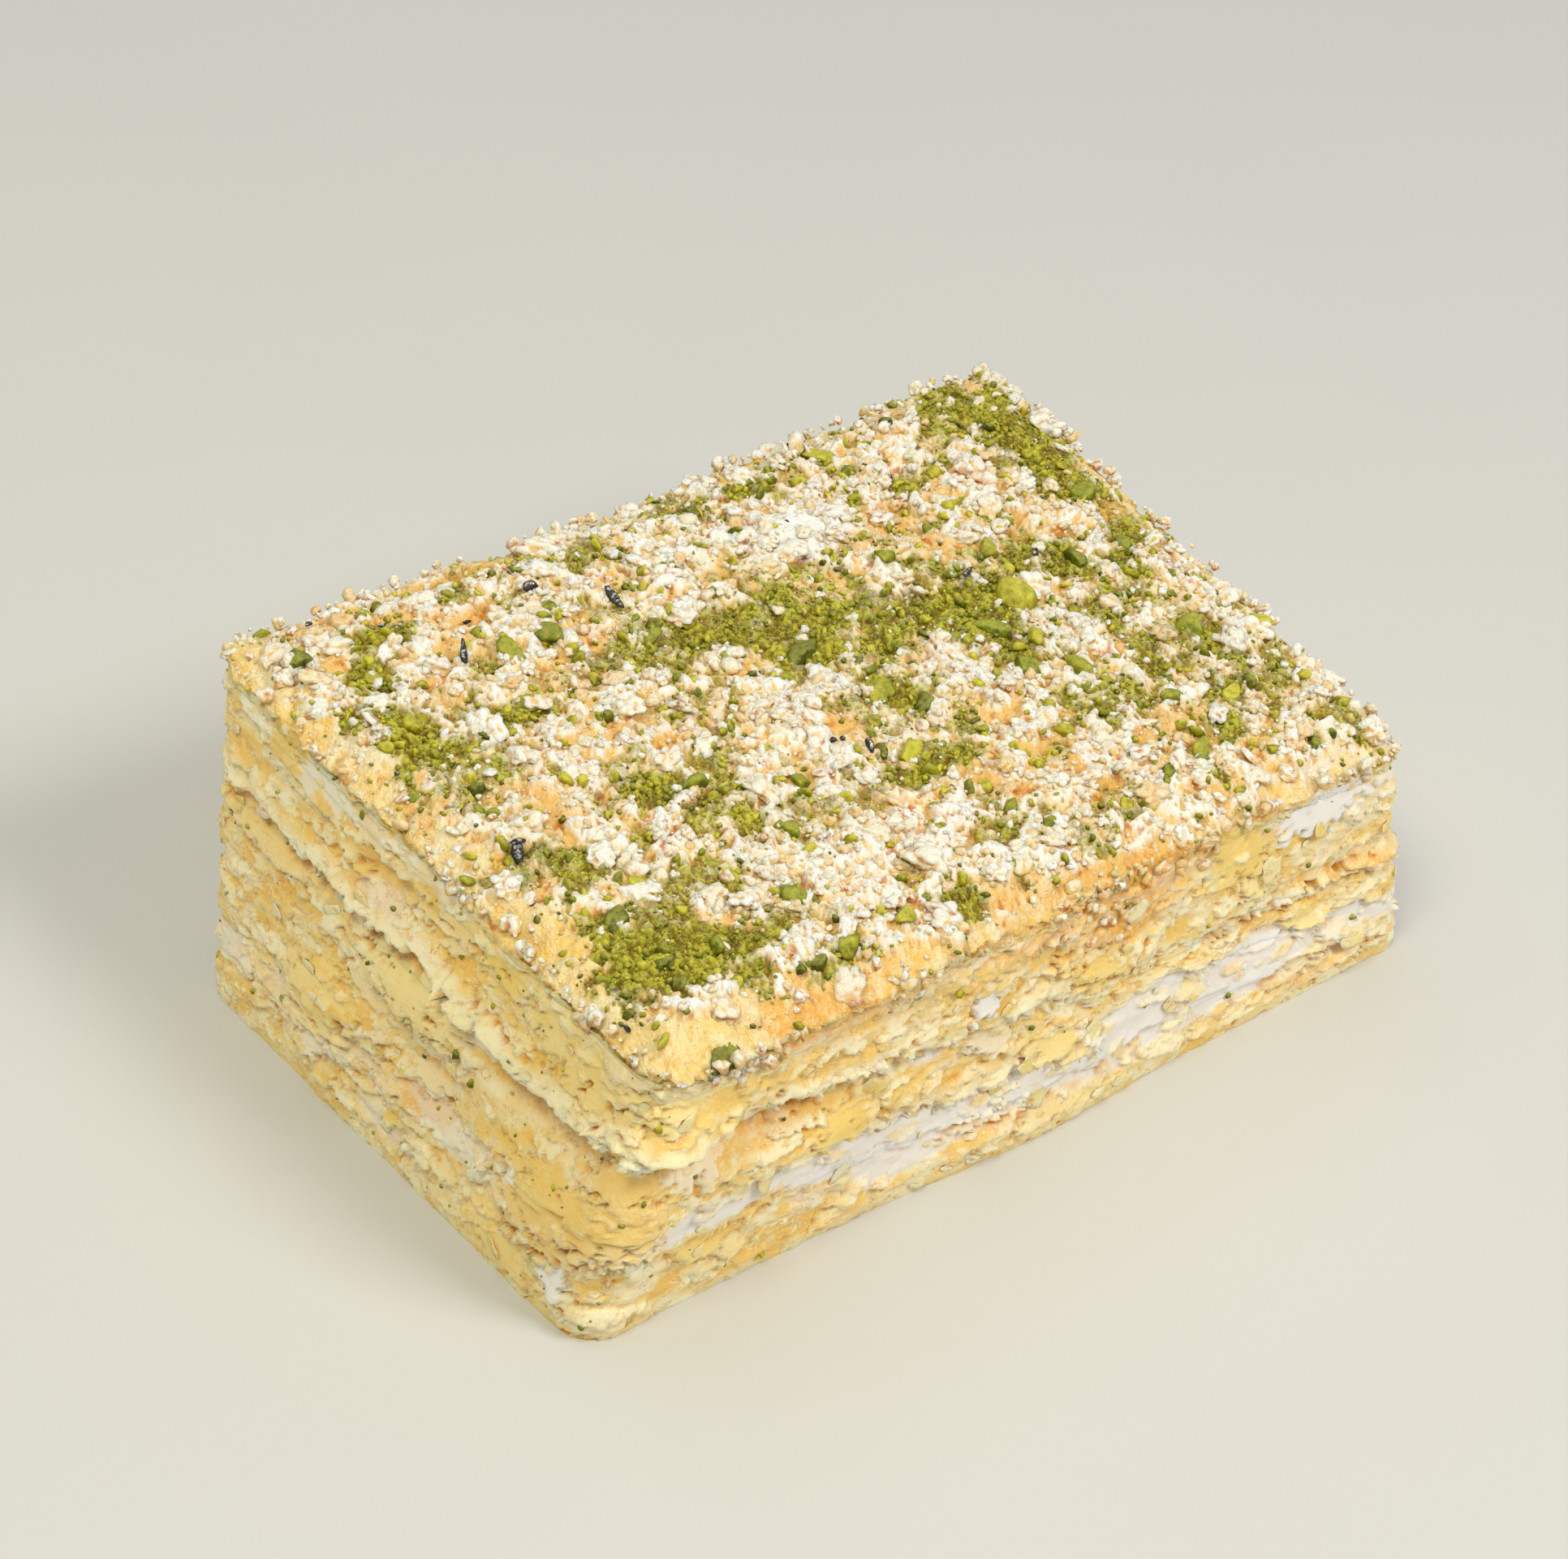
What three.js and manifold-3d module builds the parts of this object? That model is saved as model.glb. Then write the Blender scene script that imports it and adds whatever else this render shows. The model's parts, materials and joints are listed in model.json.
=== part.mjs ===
// A rectangular slice of layered puff pastry and cream, with a crust of pastry crumbs and
// chopped green nuts. Millimetres, +Z up, the slice stands on z = 0.
// -Y is the long cut side that faces forward, -X is the short end on its left.
import * as THREE from "three";
import { mergeVertices } from "three/addons/utils/BufferGeometryUtils.js";
import Module from "manifold-3d";

const wasm = await Module();
wasm.setup();

// Nominal size of the slice and the rounding of its upright edges.
const LENGTH = 110;
const WIDTH = 68;
const CORNER_RADIUS = 4;

// Plan corners, in order: front left, front right, back right, back left.
// The sides lean, so the foot and the crust have their own corners.
const FOOT_CORNERS = [
  [-57.2, -33.0],
  [56.8, -35.2],
  [55.3, 33.8],
  [-56.7, 32.0],
];
const CRUST_CORNERS = [
  [-52.9, -37.4],
  [47.6, -35.0],
  [53.7, 37.4],
  [-52.4, 37.0],
];

// Height of each boundary between layers over those four corners.
const LEVELS = {
  foot: [0, 0, 0, 0],
  baseTop: [9.6, 4.4, 6.0, 5.6],
  lowerCreamTop: [13.8, 9.6, 10.6, 9.4],
  middleTop: [23.9, 13.0, 18.4, 25.2],
  upperCreamTop: [25.5, 14.6, 20.2, 26.9],
  topPastryTop: [31.6, 23.8, 31.8, 35.2],
  coatTop: [33.2, 27.8, 34.4, 37.0],
  crust: [36.7, 32.4, 38.2, 40.4],
};
// Local rise of boundaries: where, how far it reaches and how high it goes.
const SWELLS = [
  { levels: ["baseTop", "lowerCreamTop"], x: -38, y: -35, reach: 12, rise: 1.2 },
  { levels: ["baseTop"], x: -3, y: -35, reach: 10, rise: -1.2 },
  { levels: ["lowerCreamTop"], x: -5, y: -35, reach: 9, rise: -1.6 },
  { levels: ["lowerCreamTop"], x: 15, y: -35, reach: 13, rise: 2.2 },
  { levels: ["middleTop", "upperCreamTop"], x: -55, y: -18, reach: 10, rise: -2.4 },
  { levels: ["middleTop", "upperCreamTop"], x: -55, y: 10, reach: 7, rise: -0.8 },
  { levels: ["crust"], x: -8, y: 30, reach: 22, rise: -0.9 },
];
const WAVE_LENGTH = 21;
const WAVE_RISE = 0.55;
const LAYER_GAP = 0.4;

// Mesh fineness: columns round the slice, and the coarse ring that the hidden faces run to.
const COLUMNS = 112;
const INNER_COLUMNS = 28;
const INNER_INSET = 11;

// Flaking of the cut pastry: length of a leaf along the side, how far leaves stand out, the
// lip that each one has over the next, the share of a leaf that is the crease between two, how
// far the creases wander up and down, and the torn roughness of the edges.
const LEAF_LENGTH = 10;
const LEAF_DEPTH = 0.8;
const LEAF_LIP = 0.55;
const LEAF_CREASE = 0.12;
const LEAF_WANDER = 0.3;
const WANDER_LENGTH = 8;
const ROUGH_DEPTH = 0.4;
const ROUGH_LENGTH = 3.1;

// Cream at the sides: how far it draws back, and its smears outwards with their length.
const CREAM_DRAW_BACK = 0.7;
const CREAM_SMEAR = 1.1;
const CREAM_HOLLOW = -0.4;
const SMEAR_LENGTH = 13;
const SMEAR_HEIGHT = 9;

// Hollows (out < 0) and standing leaves or lips (out > 0) on the sides.
const SIDE_FEATURES = [
  { x: -41, y: -36, z: 22.6, along: 10, up: 2.6, out: -3.0 },
  { x: -54, y: -20, z: 21.4, along: 8, up: 2.4, out: -2.6 },
  { x: -51, y: -37, z: 26.4, along: 6, up: 2.8, out: 1.6 },
  { x: -56, y: -5.5, z: 14.0, along: 5, up: 3.2, out: -2.2 },
  { x: -54, y: 4, z: 30.4, along: 5, up: 1.6, out: -1.5 },
  { x: -55, y: 0, z: 21.6, along: 6, up: 3.0, out: 1.1 },
  { x: -56, y: 12, z: 12.0, along: 7, up: 4.4, out: 1.1 },
  { x: -56, y: -25, z: 13.0, along: 9, up: 4.6, out: 1.2 },
  { x: -30, y: -34, z: 17.0, along: 12, up: 3.0, out: 0.9 },
  { x: 42, y: -34, z: 17.2, along: 14, up: 1.3, out: -1.6 },
  { x: 34, y: -34, z: 12.0, along: 5, up: 1.2, out: -1.3 },
  { x: 6, y: -34, z: 10.0, along: 9, up: 3.0, out: 0.8 },
  { x: 0, y: -34, z: 1.0, along: 17, up: 6.0, out: 1.4 },
];

// Crust: the roll of its edge, its bumps, and the crumbs and nut pieces on it.
const EDGE_ROLL = 6;
const EDGE_DROP = 1.5;
const BUMP_RISE = 1.5;
const GRID_INSET = 2.4;
const GRID_CELLS = [34, 22];
const CRUMB_COUNT = 66;
const CRUMB_RADII = [1.6, 3.0];
const CRUMB_FLATNESS = 0.72;
const CRUMB_SPACING = 0.92;
const CRUMB_EDGE_CLEARANCE = 1.6;
const CRUMB_UNEVENNESS = 0.2;
const CRUMB_SUNK = 0.5;
const CRUMB_SEED = 41;
const NUT_UNEVENNESS = 0.16;
const NUT_SUNK = 0.4;
const NUT_SEED = 300;
const BUMP_SEED = 77;
const CRUST_SEED = 61;
const CLEARANCE = 0.5;

// Nut pieces: place, length, width, height and turn in degrees. Cut ones are angular chunks.
const NUT_PIECES = [
  { x: -50, y: 27, size: [3.4, 3.0, 2.2], turn: 20, cut: false },
  { x: -30, y: 18, size: [3.8, 2.4, 2.0], turn: 80, cut: false },
  { x: -24, y: 19, size: [5.0, 3.0, 2.2], turn: 80, cut: true },
  { x: 28, y: 1, size: [5.0, 4.2, 3.2], turn: 60, cut: false },
  { x: 0, y: 5, size: [5.4, 2.8, 2.4], turn: 35, cut: true },
  { x: 23, y: -2, size: [3.4, 3.0, 2.2], turn: 10, cut: true },
  { x: 22, y: -9, size: [3.6, 2.8, 2.0], turn: 50, cut: true },
  { x: 7, y: -8, size: [3.4, 3.0, 2.4], turn: 15, cut: true },
  { x: 4, y: -4, size: [4.0, 3.8, 2.0], turn: 40, cut: true },
  { x: -12, y: -11, size: [3.4, 2.2, 1.8], turn: 10, cut: false },
  { x: 0, y: -13, size: [4.6, 3.2, 2.0], turn: 25, cut: true },
  { x: 44, y: -12, size: [3.2, 4.2, 2.6], turn: 5, cut: true },
  { x: -27, y: -22, size: [3.0, 3.0, 2.2], turn: 40, cut: false },
  { x: -46, y: -17, size: [3.4, 2.6, 2.0], turn: 20, cut: true },
  { x: -40, y: -13.5, size: [3.2, 1.9, 1.7], turn: 8, cut: false },
  { x: -18, y: -31, size: [3.4, 2.0, 1.8], turn: 10, cut: false },
  { x: -26, y: -31, size: [3.0, 2.6, 2.0], turn: 60, cut: false },
  { x: 30, y: -28, size: [3.4, 2.2, 1.8], turn: 20, cut: false },
  { x: 27, y: -12, size: [3.2, 6.0, 2.2], turn: 0, cut: true },
  { x: 18, y: -18, size: [2.4, 2.8, 1.9], turn: 0, cut: false },
  { x: 5, y: -24, size: [3.2, 2.2, 1.9], turn: 30, cut: true },
  { x: 32, y: 17, size: [3.2, 2.0, 1.8], turn: 15, cut: false },
  { x: 19, y: 13, size: [3.2, 2.2, 1.8], turn: 0, cut: true },
  { x: 47, y: 12, size: [3.4, 2.8, 2.2], turn: 30, cut: true },
  { x: 38, y: 4, size: [2.4, 4.0, 2.2], turn: 10, cut: true },
  { x: 24, y: 31, size: [3.2, 3.2, 2.0], turn: 0, cut: true },
];

// Large crumbs that stand out over the edge: place and radius.
const EDGE_CRUMBS = [
  { x: 52.6, y: -8, radius: 2.6 },
  { x: 52.4, y: -31.4, radius: 2.0 },
  { x: 53.2, y: 22, radius: 2.0 },
  { x: -52.2, y: -8, radius: 2.0 },
  { x: -30, y: -32.6, radius: 2.2 },
  { x: 8, y: 32.4, radius: 2.0 },
];

// Seeded value between 0 and 1 for a whole-number place.
function seeded(i, j, seed) {
  let h = Math.imul(i + 1013, 374761393) ^ Math.imul(j + 7919, 668265263) ^ Math.imul(seed, 2246822519);
  h = Math.imul(h ^ (h >>> 13), 1274126177);
  h = Math.imul(h ^ (h >>> 15), 2246822519);
  return ((h ^ (h >>> 16)) >>> 0) / 4294967296;
}

// Smooth seeded noise between -1 and 1, with one cell per unit.
function noise(x, y, seed) {
  const i = Math.floor(x);
  const j = Math.floor(y);
  const a = THREE.MathUtils.smoothstep(x - i, 0, 1);
  const b = THREE.MathUtils.smoothstep(y - j, 0, 1);
  const low = THREE.MathUtils.lerp(seeded(i, j, seed), seeded(i + 1, j, seed), a);
  const high = THREE.MathUtils.lerp(seeded(i, j + 1, seed), seeded(i + 1, j + 1, seed), a);
  return 2 * THREE.MathUtils.lerp(low, high, b) - 1;
}

// Value over the plan, blended from its four corners.
function fromCorners(corners, x, y) {
  const p = x / LENGTH + 0.5;
  const q = y / WIDTH + 0.5;
  return (
    (1 - q) * ((1 - p) * corners[0] + p * corners[1]) + q * (p * corners[2] + (1 - p) * corners[3])
  );
}

function bell(distance) {
  return Math.exp(-distance * distance);
}

// Height of a named boundary over a nominal plan point.
function levelAt(name, x, y) {
  const base = fromCorners(LEVELS[name], x, y);
  if (name === "foot") return base;
  const seed = Object.keys(LEVELS).indexOf(name);
  const wave = WAVE_RISE * noise(x / WAVE_LENGTH, y / WAVE_LENGTH, seed);
  const swell = SWELLS.filter((s) => s.levels.includes(name)).reduce(
    (sum, s) => sum + s.rise * bell(Math.hypot(x - s.x, y - s.y) / s.reach),
    0,
  );
  return base + wave + swell;
}

// Real plan point of a nominal one at a height, on the leaning sides.
function leaned(x, y, z) {
  const share = z / fromCorners(LEVELS.crust, x, y);
  const place = [0, 1].map((axis) =>
    THREE.MathUtils.lerp(
      fromCorners(FOOT_CORNERS.map((c) => c[axis]), x, y),
      fromCorners(CRUST_CORNERS.map((c) => c[axis]), x, y),
      share,
    ),
  );
  return new THREE.Vector2(...place);
}

// Points round a rounded rectangle that lies a given distance inside the nominal outline.
function outline(inset, count) {
  const halfLength = LENGTH / 2 - inset;
  const halfWidth = WIDTH / 2 - inset;
  const r = Math.max(CORNER_RADIUS - inset, 1);
  const shape = new THREE.Shape();
  shape.absarc(-halfLength + r, -halfWidth + r, r, Math.PI * 1.25, Math.PI * 1.5);
  shape.absarc(halfLength - r, -halfWidth + r, r, Math.PI * 1.5, Math.PI * 2);
  shape.absarc(halfLength - r, halfWidth - r, r, 0, Math.PI / 2);
  shape.absarc(-halfLength + r, halfWidth - r, r, Math.PI / 2, Math.PI);
  shape.absarc(-halfLength + r, -halfWidth + r, r, Math.PI, Math.PI * 1.25);
  return shape.getSpacedPoints(count).slice(0, count);
}

// The outer outline as columns: nominal plan point, outward direction and distance along.
const RIM = outline(0, COLUMNS);
const STEP_ALONG = (2 * (LENGTH + WIDTH)) / COLUMNS;
const RIM_COLUMNS = RIM.map((point, i) => {
  const next = RIM[(i + 1) % COLUMNS];
  const last = RIM[(i + COLUMNS - 1) % COLUMNS];
  const out = new THREE.Vector2(next.y - last.y, last.x - next.x).normalize();
  return { x: point.x, y: point.y, out, along: i * STEP_ALONG };
});

// Sum of the named hollows and lips at a point of the side.
function featureAt(x, y, z) {
  return SIDE_FEATURES.reduce((sum, f) => {
    const sideways = Math.hypot(x - f.x, y - f.y) / f.along;
    return sum + f.out * bell(sideways) * bell((z - f.z) / f.up);
  }, 0);
}

// Relief of cut puff pastry: leaves of uneven reach, each with a lip over the one below.
function pastryRelief(seed) {
  return (column, z, leaf, lip) => {
    const piece = Math.floor(column.along / LEAF_LENGTH + leaf / Math.SQRT2);
    const reach = LEAF_DEPTH * (2 * seeded(piece, leaf, seed) - 1);
    const rough = ROUGH_DEPTH * noise(column.along / ROUGH_LENGTH, leaf + 0.5, seed + 1);
    return reach + rough - LEAF_LIP * lip;
  };
}

// Relief of a cream layer: drawn back between the leaves, smeared outwards in patches.
function creamRelief(seed) {
  return (column, z) => {
    const patch = noise(column.along / SMEAR_LENGTH, z / SMEAR_HEIGHT, seed);
    return -CREAM_DRAW_BACK + CREAM_SMEAR * Math.max(patch, CREAM_HOLLOW);
  };
}

// Triangles between two rings of points; the inner one may have fewer points.
function stitch(outer, inner, faces) {
  const ratio = outer.length / inner.length;
  const partner = (i) => Math.floor((i + ratio / 2) / ratio) % inner.length;
  outer.forEach((vertex, i) => {
    const next = (i + 1) % outer.length;
    faces.push([vertex, outer[next], inner[partner(i)]]);
    if (partner(next) !== partner(i)) faces.push([inner[partner(i)], outer[next], inner[partner(next)]]);
  });
}

// Collects the points and faces of one closed solid.
class Shell {
  constructor() {
    this.points = [];
    this.faces = [];
  }
  add(x, y, z) {
    return this.points.push(new THREE.Vector3(x, y, z)) - 1;
  }
  // Rings from the rim inwards, closed by a point in the middle; facing down when flipped.
  cap(rings, middle, flipped) {
    const faces = [];
    rings.slice(1).forEach((ring, k) => stitch(rings[k], ring, faces));
    const last = rings[rings.length - 1];
    last.forEach((vertex, i) => faces.push([vertex, last[(i + 1) % last.length], middle]));
    faces.forEach((f) => this.faces.push(flipped ? [f[0], f[2], f[1]] : f));
  }
  wall(rings) {
    rings.slice(1).forEach((upper, k) => {
      const lower = rings[k];
      lower.forEach((vertex, i) => {
        const next = (i + 1) % lower.length;
        this.faces.push([vertex, lower[next], upper[next]], [vertex, upper[next], upper[i]]);
      });
    });
  }
  geometry() {
    const corners = this.faces.flat().flatMap((index) => this.points[index].toArray());
    const loose = new THREE.BufferGeometry();
    loose.setAttribute("position", new THREE.Float32BufferAttribute(corners, 3));
    return mergeVertices(loose, 1e-4);
  }
}

// Hidden face at a boundary level, from its rim ring to the middle.
function flatCap(shell, rimRing, heightAt, flipped) {
  const inner = outline(INNER_INSET, INNER_COLUMNS).map((p) => shell.add(p.x, p.y, heightAt(p.x, p.y)));
  shell.cap([rimRing, inner], shell.add(0, 0, heightAt(0, 0)), flipped);
}

// Ring of side points between two heights, at the share of the way up that each column gives.
function sideRing(shell, lowAt, highAt, shareAt, reliefAt) {
  return RIM_COLUMNS.map((column) => {
    const { x, y, out } = column;
    const z = THREE.MathUtils.lerp(lowAt(x, y), highAt(x, y), shareAt(column));
    const reach = reliefAt(column, z) + featureAt(x, y, z);
    const place = leaned(x, y, z).addScaledVector(out, reach);
    return shell.add(place.x, place.y, z);
  });
}

// The rings of a flaked side: each leaf has one at its lower and one at its upper edge.
function leafRings(leaves, seed) {
  const wander = (column, crease) =>
    (LEAF_WANDER / leaves) * noise(column.along / WANDER_LENGTH, crease + 0.5, seed);
  const rings = [];
  for (let leaf = 0; leaf < leaves; leaf++) {
    const lowEdge = (column) => (leaf + LEAF_CREASE) / leaves + wander(column, leaf);
    const highEdge = (column) => (leaf + 1) / leaves + wander(column, leaf + 1);
    rings.push({ leaf, lip: 0, shareAt: leaf === 0 ? () => 0 : lowEdge });
    rings.push({ leaf, lip: 1, shareAt: leaf === leaves - 1 ? () => 1 : highEdge });
  }
  return rings;
}

function plainRings(rows) {
  return Array.from({ length: rows + 1 }, (_, row) => {
    const share = row / rows;
    return { leaf: row, lip: share, shareAt: () => share };
  });
}

// A layer between two boundary levels, with a side of its own relief.
function layerGeometry(lower, upper, sideRings, relief) {
  const shell = new Shell();
  const lowAt = (x, y) => levelAt(lower, x, y) + (lower === "foot" ? 0 : LAYER_GAP / 2);
  const highAt = (x, y) => levelAt(upper, x, y) - LAYER_GAP / 2;
  const rings = sideRings.map(({ leaf, lip, shareAt }) =>
    sideRing(shell, lowAt, highAt, shareAt, (column, z) => relief(column, z, leaf, lip)),
  );
  shell.wall(rings);
  flatCap(shell, rings[0], lowAt, true);
  flatCap(shell, rings[rings.length - 1], highAt, false);
  return shell.geometry();
}

// Height of the crust's core over a nominal plan point, with its rolled edge.
function crustAt(x, y) {
  const toEdge = Math.min(LENGTH / 2 - Math.abs(x), WIDTH / 2 - Math.abs(y));
  return levelAt("crust", x, y) - EDGE_DROP * (1 - THREE.MathUtils.smoothstep(toEdge, 0, EDGE_ROLL));
}

// The crust's core: a sheet with a rough rolled rim, whose top is a grid of crumb-sized bumps.
function crustCore() {
  const shell = new Shell();
  const [along, across] = GRID_CELLS;
  const lowAt = (x, y) => levelAt("coatTop", x, y) + LAYER_GAP / 2;
  const relief = pastryRelief(CRUST_SEED);
  const rings = plainRings(2).map(({ leaf, lip, shareAt }) =>
    sideRing(shell, lowAt, crustAt, shareAt, (column, z) => relief(column, z, leaf, lip)),
  );
  const grid = Array.from({ length: across + 1 }, (_, j) =>
    Array.from({ length: along + 1 }, (_, i) => {
      const x = (LENGTH / 2 - GRID_INSET) * ((2 * i) / along - 1);
      const y = (WIDTH / 2 - GRID_INSET) * ((2 * j) / across - 1);
      const bump = BUMP_RISE * (seeded(i, j, BUMP_SEED) - 0.5);
      const place = leaned(x, y, crustAt(x, y));
      return shell.add(place.x, place.y, crustAt(x, y) + bump);
    }),
  );
  for (let j = 0; j < across; j++)
    for (let i = 0; i < along; i++) {
      const [a, b, c, d] = [grid[j][i], grid[j][i + 1], grid[j + 1][i + 1], grid[j + 1][i]];
      shell.faces.push(...((i + j) % 2 ? [[a, b, c], [a, c, d]] : [[a, b, d], [b, c, d]]));
    }
  const border = [
    ...grid[0].slice(0, along),
    ...grid.slice(0, across).map((row) => row[along]),
    ...grid[across].slice(1).reverse(),
    ...grid.slice(1).reverse().map((row) => row[0]),
  ];
  shell.wall(rings);
  stitch(rings[2], border, shell.faces);
  flatCap(shell, rings[0], lowAt, true);
  return shell.geometry();
}

function solidOf(geometry) {
  const merged = mergeVertices(geometry, 1e-4);
  return new wasm.Manifold(
    new wasm.Mesh({
      numProp: 3,
      vertProperties: merged.attributes.position.array,
      triVerts: new Uint32Array(merged.index.array),
    }),
  );
}

function geometryOf(solid) {
  const { vertProperties, triVerts } = solid.getMesh();
  const geometry = new THREE.BufferGeometry();
  geometry.setAttribute("position", new THREE.BufferAttribute(vertProperties, 3));
  return geometry.setIndex(new THREE.BufferAttribute(triVerts, 1));
}

// An uneven closed lump made from a simple solid by moving its corners a little.
function lump(source, unevenness, seed) {
  source.deleteAttribute("normal");
  source.deleteAttribute("uv");
  const merged = mergeVertices(source, 1e-4);
  const position = merged.attributes.position;
  for (let i = 0; i < position.count; i++) {
    const grow = 1 + unevenness * (2 * seeded(i, 5, seed) - 1);
    position.setXYZ(i, position.getX(i) * grow, position.getY(i) * grow, position.getZ(i) * grow);
  }
  return merged;
}

// Seats a lump on the crust at a nominal plan point, clear of the layer below.
function seat(geometry, x, y, turn, sunk) {
  geometry.rotateZ(turn);
  geometry.computeBoundingBox();
  const { min } = geometry.boundingBox;
  const surface = crustAt(x, y);
  const lowest = levelAt("coatTop", x, y) + LAYER_GAP / 2 + CLEARANCE;
  const z = Math.max(surface - sunk - min.z, lowest - min.z);
  const place = leaned(x, y, surface);
  return geometry.translate(place.x, place.y, z);
}

function nutPiece({ x, y, size, turn, cut }, index) {
  const [length, width, height] = size;
  const source = cut ? new THREE.BoxGeometry(1, 1, 1) : new THREE.IcosahedronGeometry(0.5, 0);
  const piece = lump(source, NUT_UNEVENNESS, NUT_SEED + index).scale(length, width, height);
  return seat(piece, x, y, THREE.MathUtils.degToRad(turn), height * NUT_SUNK);
}

function crumb({ x, y, radius }, seed) {
  const stretch = 0.8 + 0.4 * seeded(seed, 3, CRUMB_SEED);
  const piece = lump(new THREE.IcosahedronGeometry(radius, 0), CRUMB_UNEVENNESS, seed);
  piece.scale(stretch, 1 / stretch, CRUMB_FLATNESS);
  return seat(piece, x, y, Math.PI * seeded(seed, 4, CRUMB_SEED), radius * CRUMB_SUNK);
}

// Places of the crumbs, the largest first, spread so that they touch but don't pile up.
function crumbPlaces() {
  const nuts = NUT_PIECES.map(({ x, y, size }) => ({ x, y, radius: size[0] / 2 }));
  const places = [...EDGE_CRUMBS];
  for (let tries = 0; places.length < CRUMB_COUNT && tries < CRUMB_COUNT * 60; tries++) {
    const share = places.length / CRUMB_COUNT;
    const radius = THREE.MathUtils.lerp(CRUMB_RADII[1], CRUMB_RADII[0], Math.pow(share, 0.6));
    const reach = radius / 2 + CRUMB_EDGE_CLEARANCE;
    const x = (seeded(tries, 1, CRUMB_SEED) - 0.5) * (LENGTH - 2 * reach);
    const y = (seeded(tries, 2, CRUMB_SEED) - 0.5) * (WIDTH - 2 * reach);
    const crowded = [...nuts, ...places].some(
      (t) => Math.hypot(t.x - x, t.y - y) < CRUMB_SPACING * (t.radius + radius),
    );
    if (!crowded) places.push({ x, y, radius });
  }
  return places;
}

// The crust with its crumbs and nut pieces as one solid.
function crustGeometry() {
  const pieces = [...crumbPlaces().map(crumb), ...NUT_PIECES.map(nutPiece)];
  const whole = pieces.reduce((solid, piece) => solid.add(solidOf(piece)), solidOf(crustCore()));
  const bodies = whole.decompose().sort((a, b) => b.volume() - a.volume());
  return geometryOf(bodies[0]);
}

function finish(color, roughness) {
  return new THREE.MeshStandardMaterial({ color, roughness, metalness: 0, flatShading: true });
}

const LAYERS = [
  { name: "pastry_base", from: "foot", to: "baseTop", leaves: 3, seed: 11, color: 0xe9cf8e },
  { name: "cream_lower", from: "baseTop", to: "lowerCreamTop", rows: 2, seed: 21 },
  { name: "pastry_middle", from: "lowerCreamTop", to: "middleTop", leaves: 4, seed: 31, color: 0xecd597 },
  { name: "cream_upper", from: "middleTop", to: "upperCreamTop", rows: 1, seed: 41 },
  { name: "pastry_top", from: "upperCreamTop", to: "topPastryTop", leaves: 4, seed: 51, color: 0xf0d58f },
  { name: "cream_coat", from: "topPastryTop", to: "coatTop", rows: 1, seed: 71 },
];
const CREAM_COLOR = 0xefe9dc;
const CRUST_COLOR = 0xf1ead8;

function namedMesh(name, geometry, material) {
  const mesh = new THREE.Mesh(geometry, material);
  mesh.name = name;
  return mesh;
}

const slice = new THREE.Group();
for (const { name, from, to, leaves, rows, seed, color } of LAYERS) {
  const geometry = leaves
    ? layerGeometry(from, to, leafRings(leaves, seed), pastryRelief(seed))
    : layerGeometry(from, to, plainRings(rows), creamRelief(seed));
  const material = leaves ? finish(color, 0.8) : finish(CREAM_COLOR, 0.5);
  slice.add(namedMesh(name, geometry, material));
}
slice.add(namedMesh("crumb_crust", crustGeometry(), finish(CRUST_COLOR, 0.9)));

export default slice;
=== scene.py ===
"""A slice of puff pastry layered with cream, under a crust of sugared crumbs and green nuts.

Lengths are in millimetres until a mesh is made. X runs along the slice, Y across it, Z up.
The long cut side faces -Y and the short end on its left faces -X.
"""

import json
import logging
import math
from dataclasses import dataclass, field
from enum import Enum

import bmesh
import bpy
import numpy as np
from mathutils import Matrix, Vector

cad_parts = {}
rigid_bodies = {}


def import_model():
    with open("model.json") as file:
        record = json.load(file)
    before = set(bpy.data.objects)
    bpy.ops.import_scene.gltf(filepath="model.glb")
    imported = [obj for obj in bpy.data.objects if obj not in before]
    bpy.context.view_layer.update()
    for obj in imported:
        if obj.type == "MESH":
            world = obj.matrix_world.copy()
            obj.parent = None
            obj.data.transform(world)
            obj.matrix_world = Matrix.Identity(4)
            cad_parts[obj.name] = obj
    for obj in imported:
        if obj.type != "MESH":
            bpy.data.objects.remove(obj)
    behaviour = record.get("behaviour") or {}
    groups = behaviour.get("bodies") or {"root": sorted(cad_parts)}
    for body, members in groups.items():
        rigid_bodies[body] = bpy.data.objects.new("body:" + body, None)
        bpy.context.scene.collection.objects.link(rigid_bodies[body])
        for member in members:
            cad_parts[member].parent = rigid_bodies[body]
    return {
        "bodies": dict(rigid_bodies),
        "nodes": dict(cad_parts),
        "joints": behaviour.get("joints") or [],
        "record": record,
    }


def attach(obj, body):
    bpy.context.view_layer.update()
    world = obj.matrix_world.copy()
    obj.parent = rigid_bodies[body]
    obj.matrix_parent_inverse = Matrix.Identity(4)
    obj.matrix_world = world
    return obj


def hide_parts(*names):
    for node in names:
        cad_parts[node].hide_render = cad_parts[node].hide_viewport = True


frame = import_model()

LOG = logging.getLogger("slice")
MM = 0.001

Array = np.ndarray
Fields = dict[str, Array]
Pair = tuple[Array, Array]
Draw = np.random.Generator
Material = bpy.types.Material
Piece = bpy.types.Object
Materials = dict[str, Material]

# Factors that scramble a place and a seed into a repeatable value.
HASH_COLUMN = 374761393
HASH_ROW = 668265263
HASH_SEED = 2246822519
HASH_FOLD = 1274126177
WORD = 0xFFFFFFFF


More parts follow.
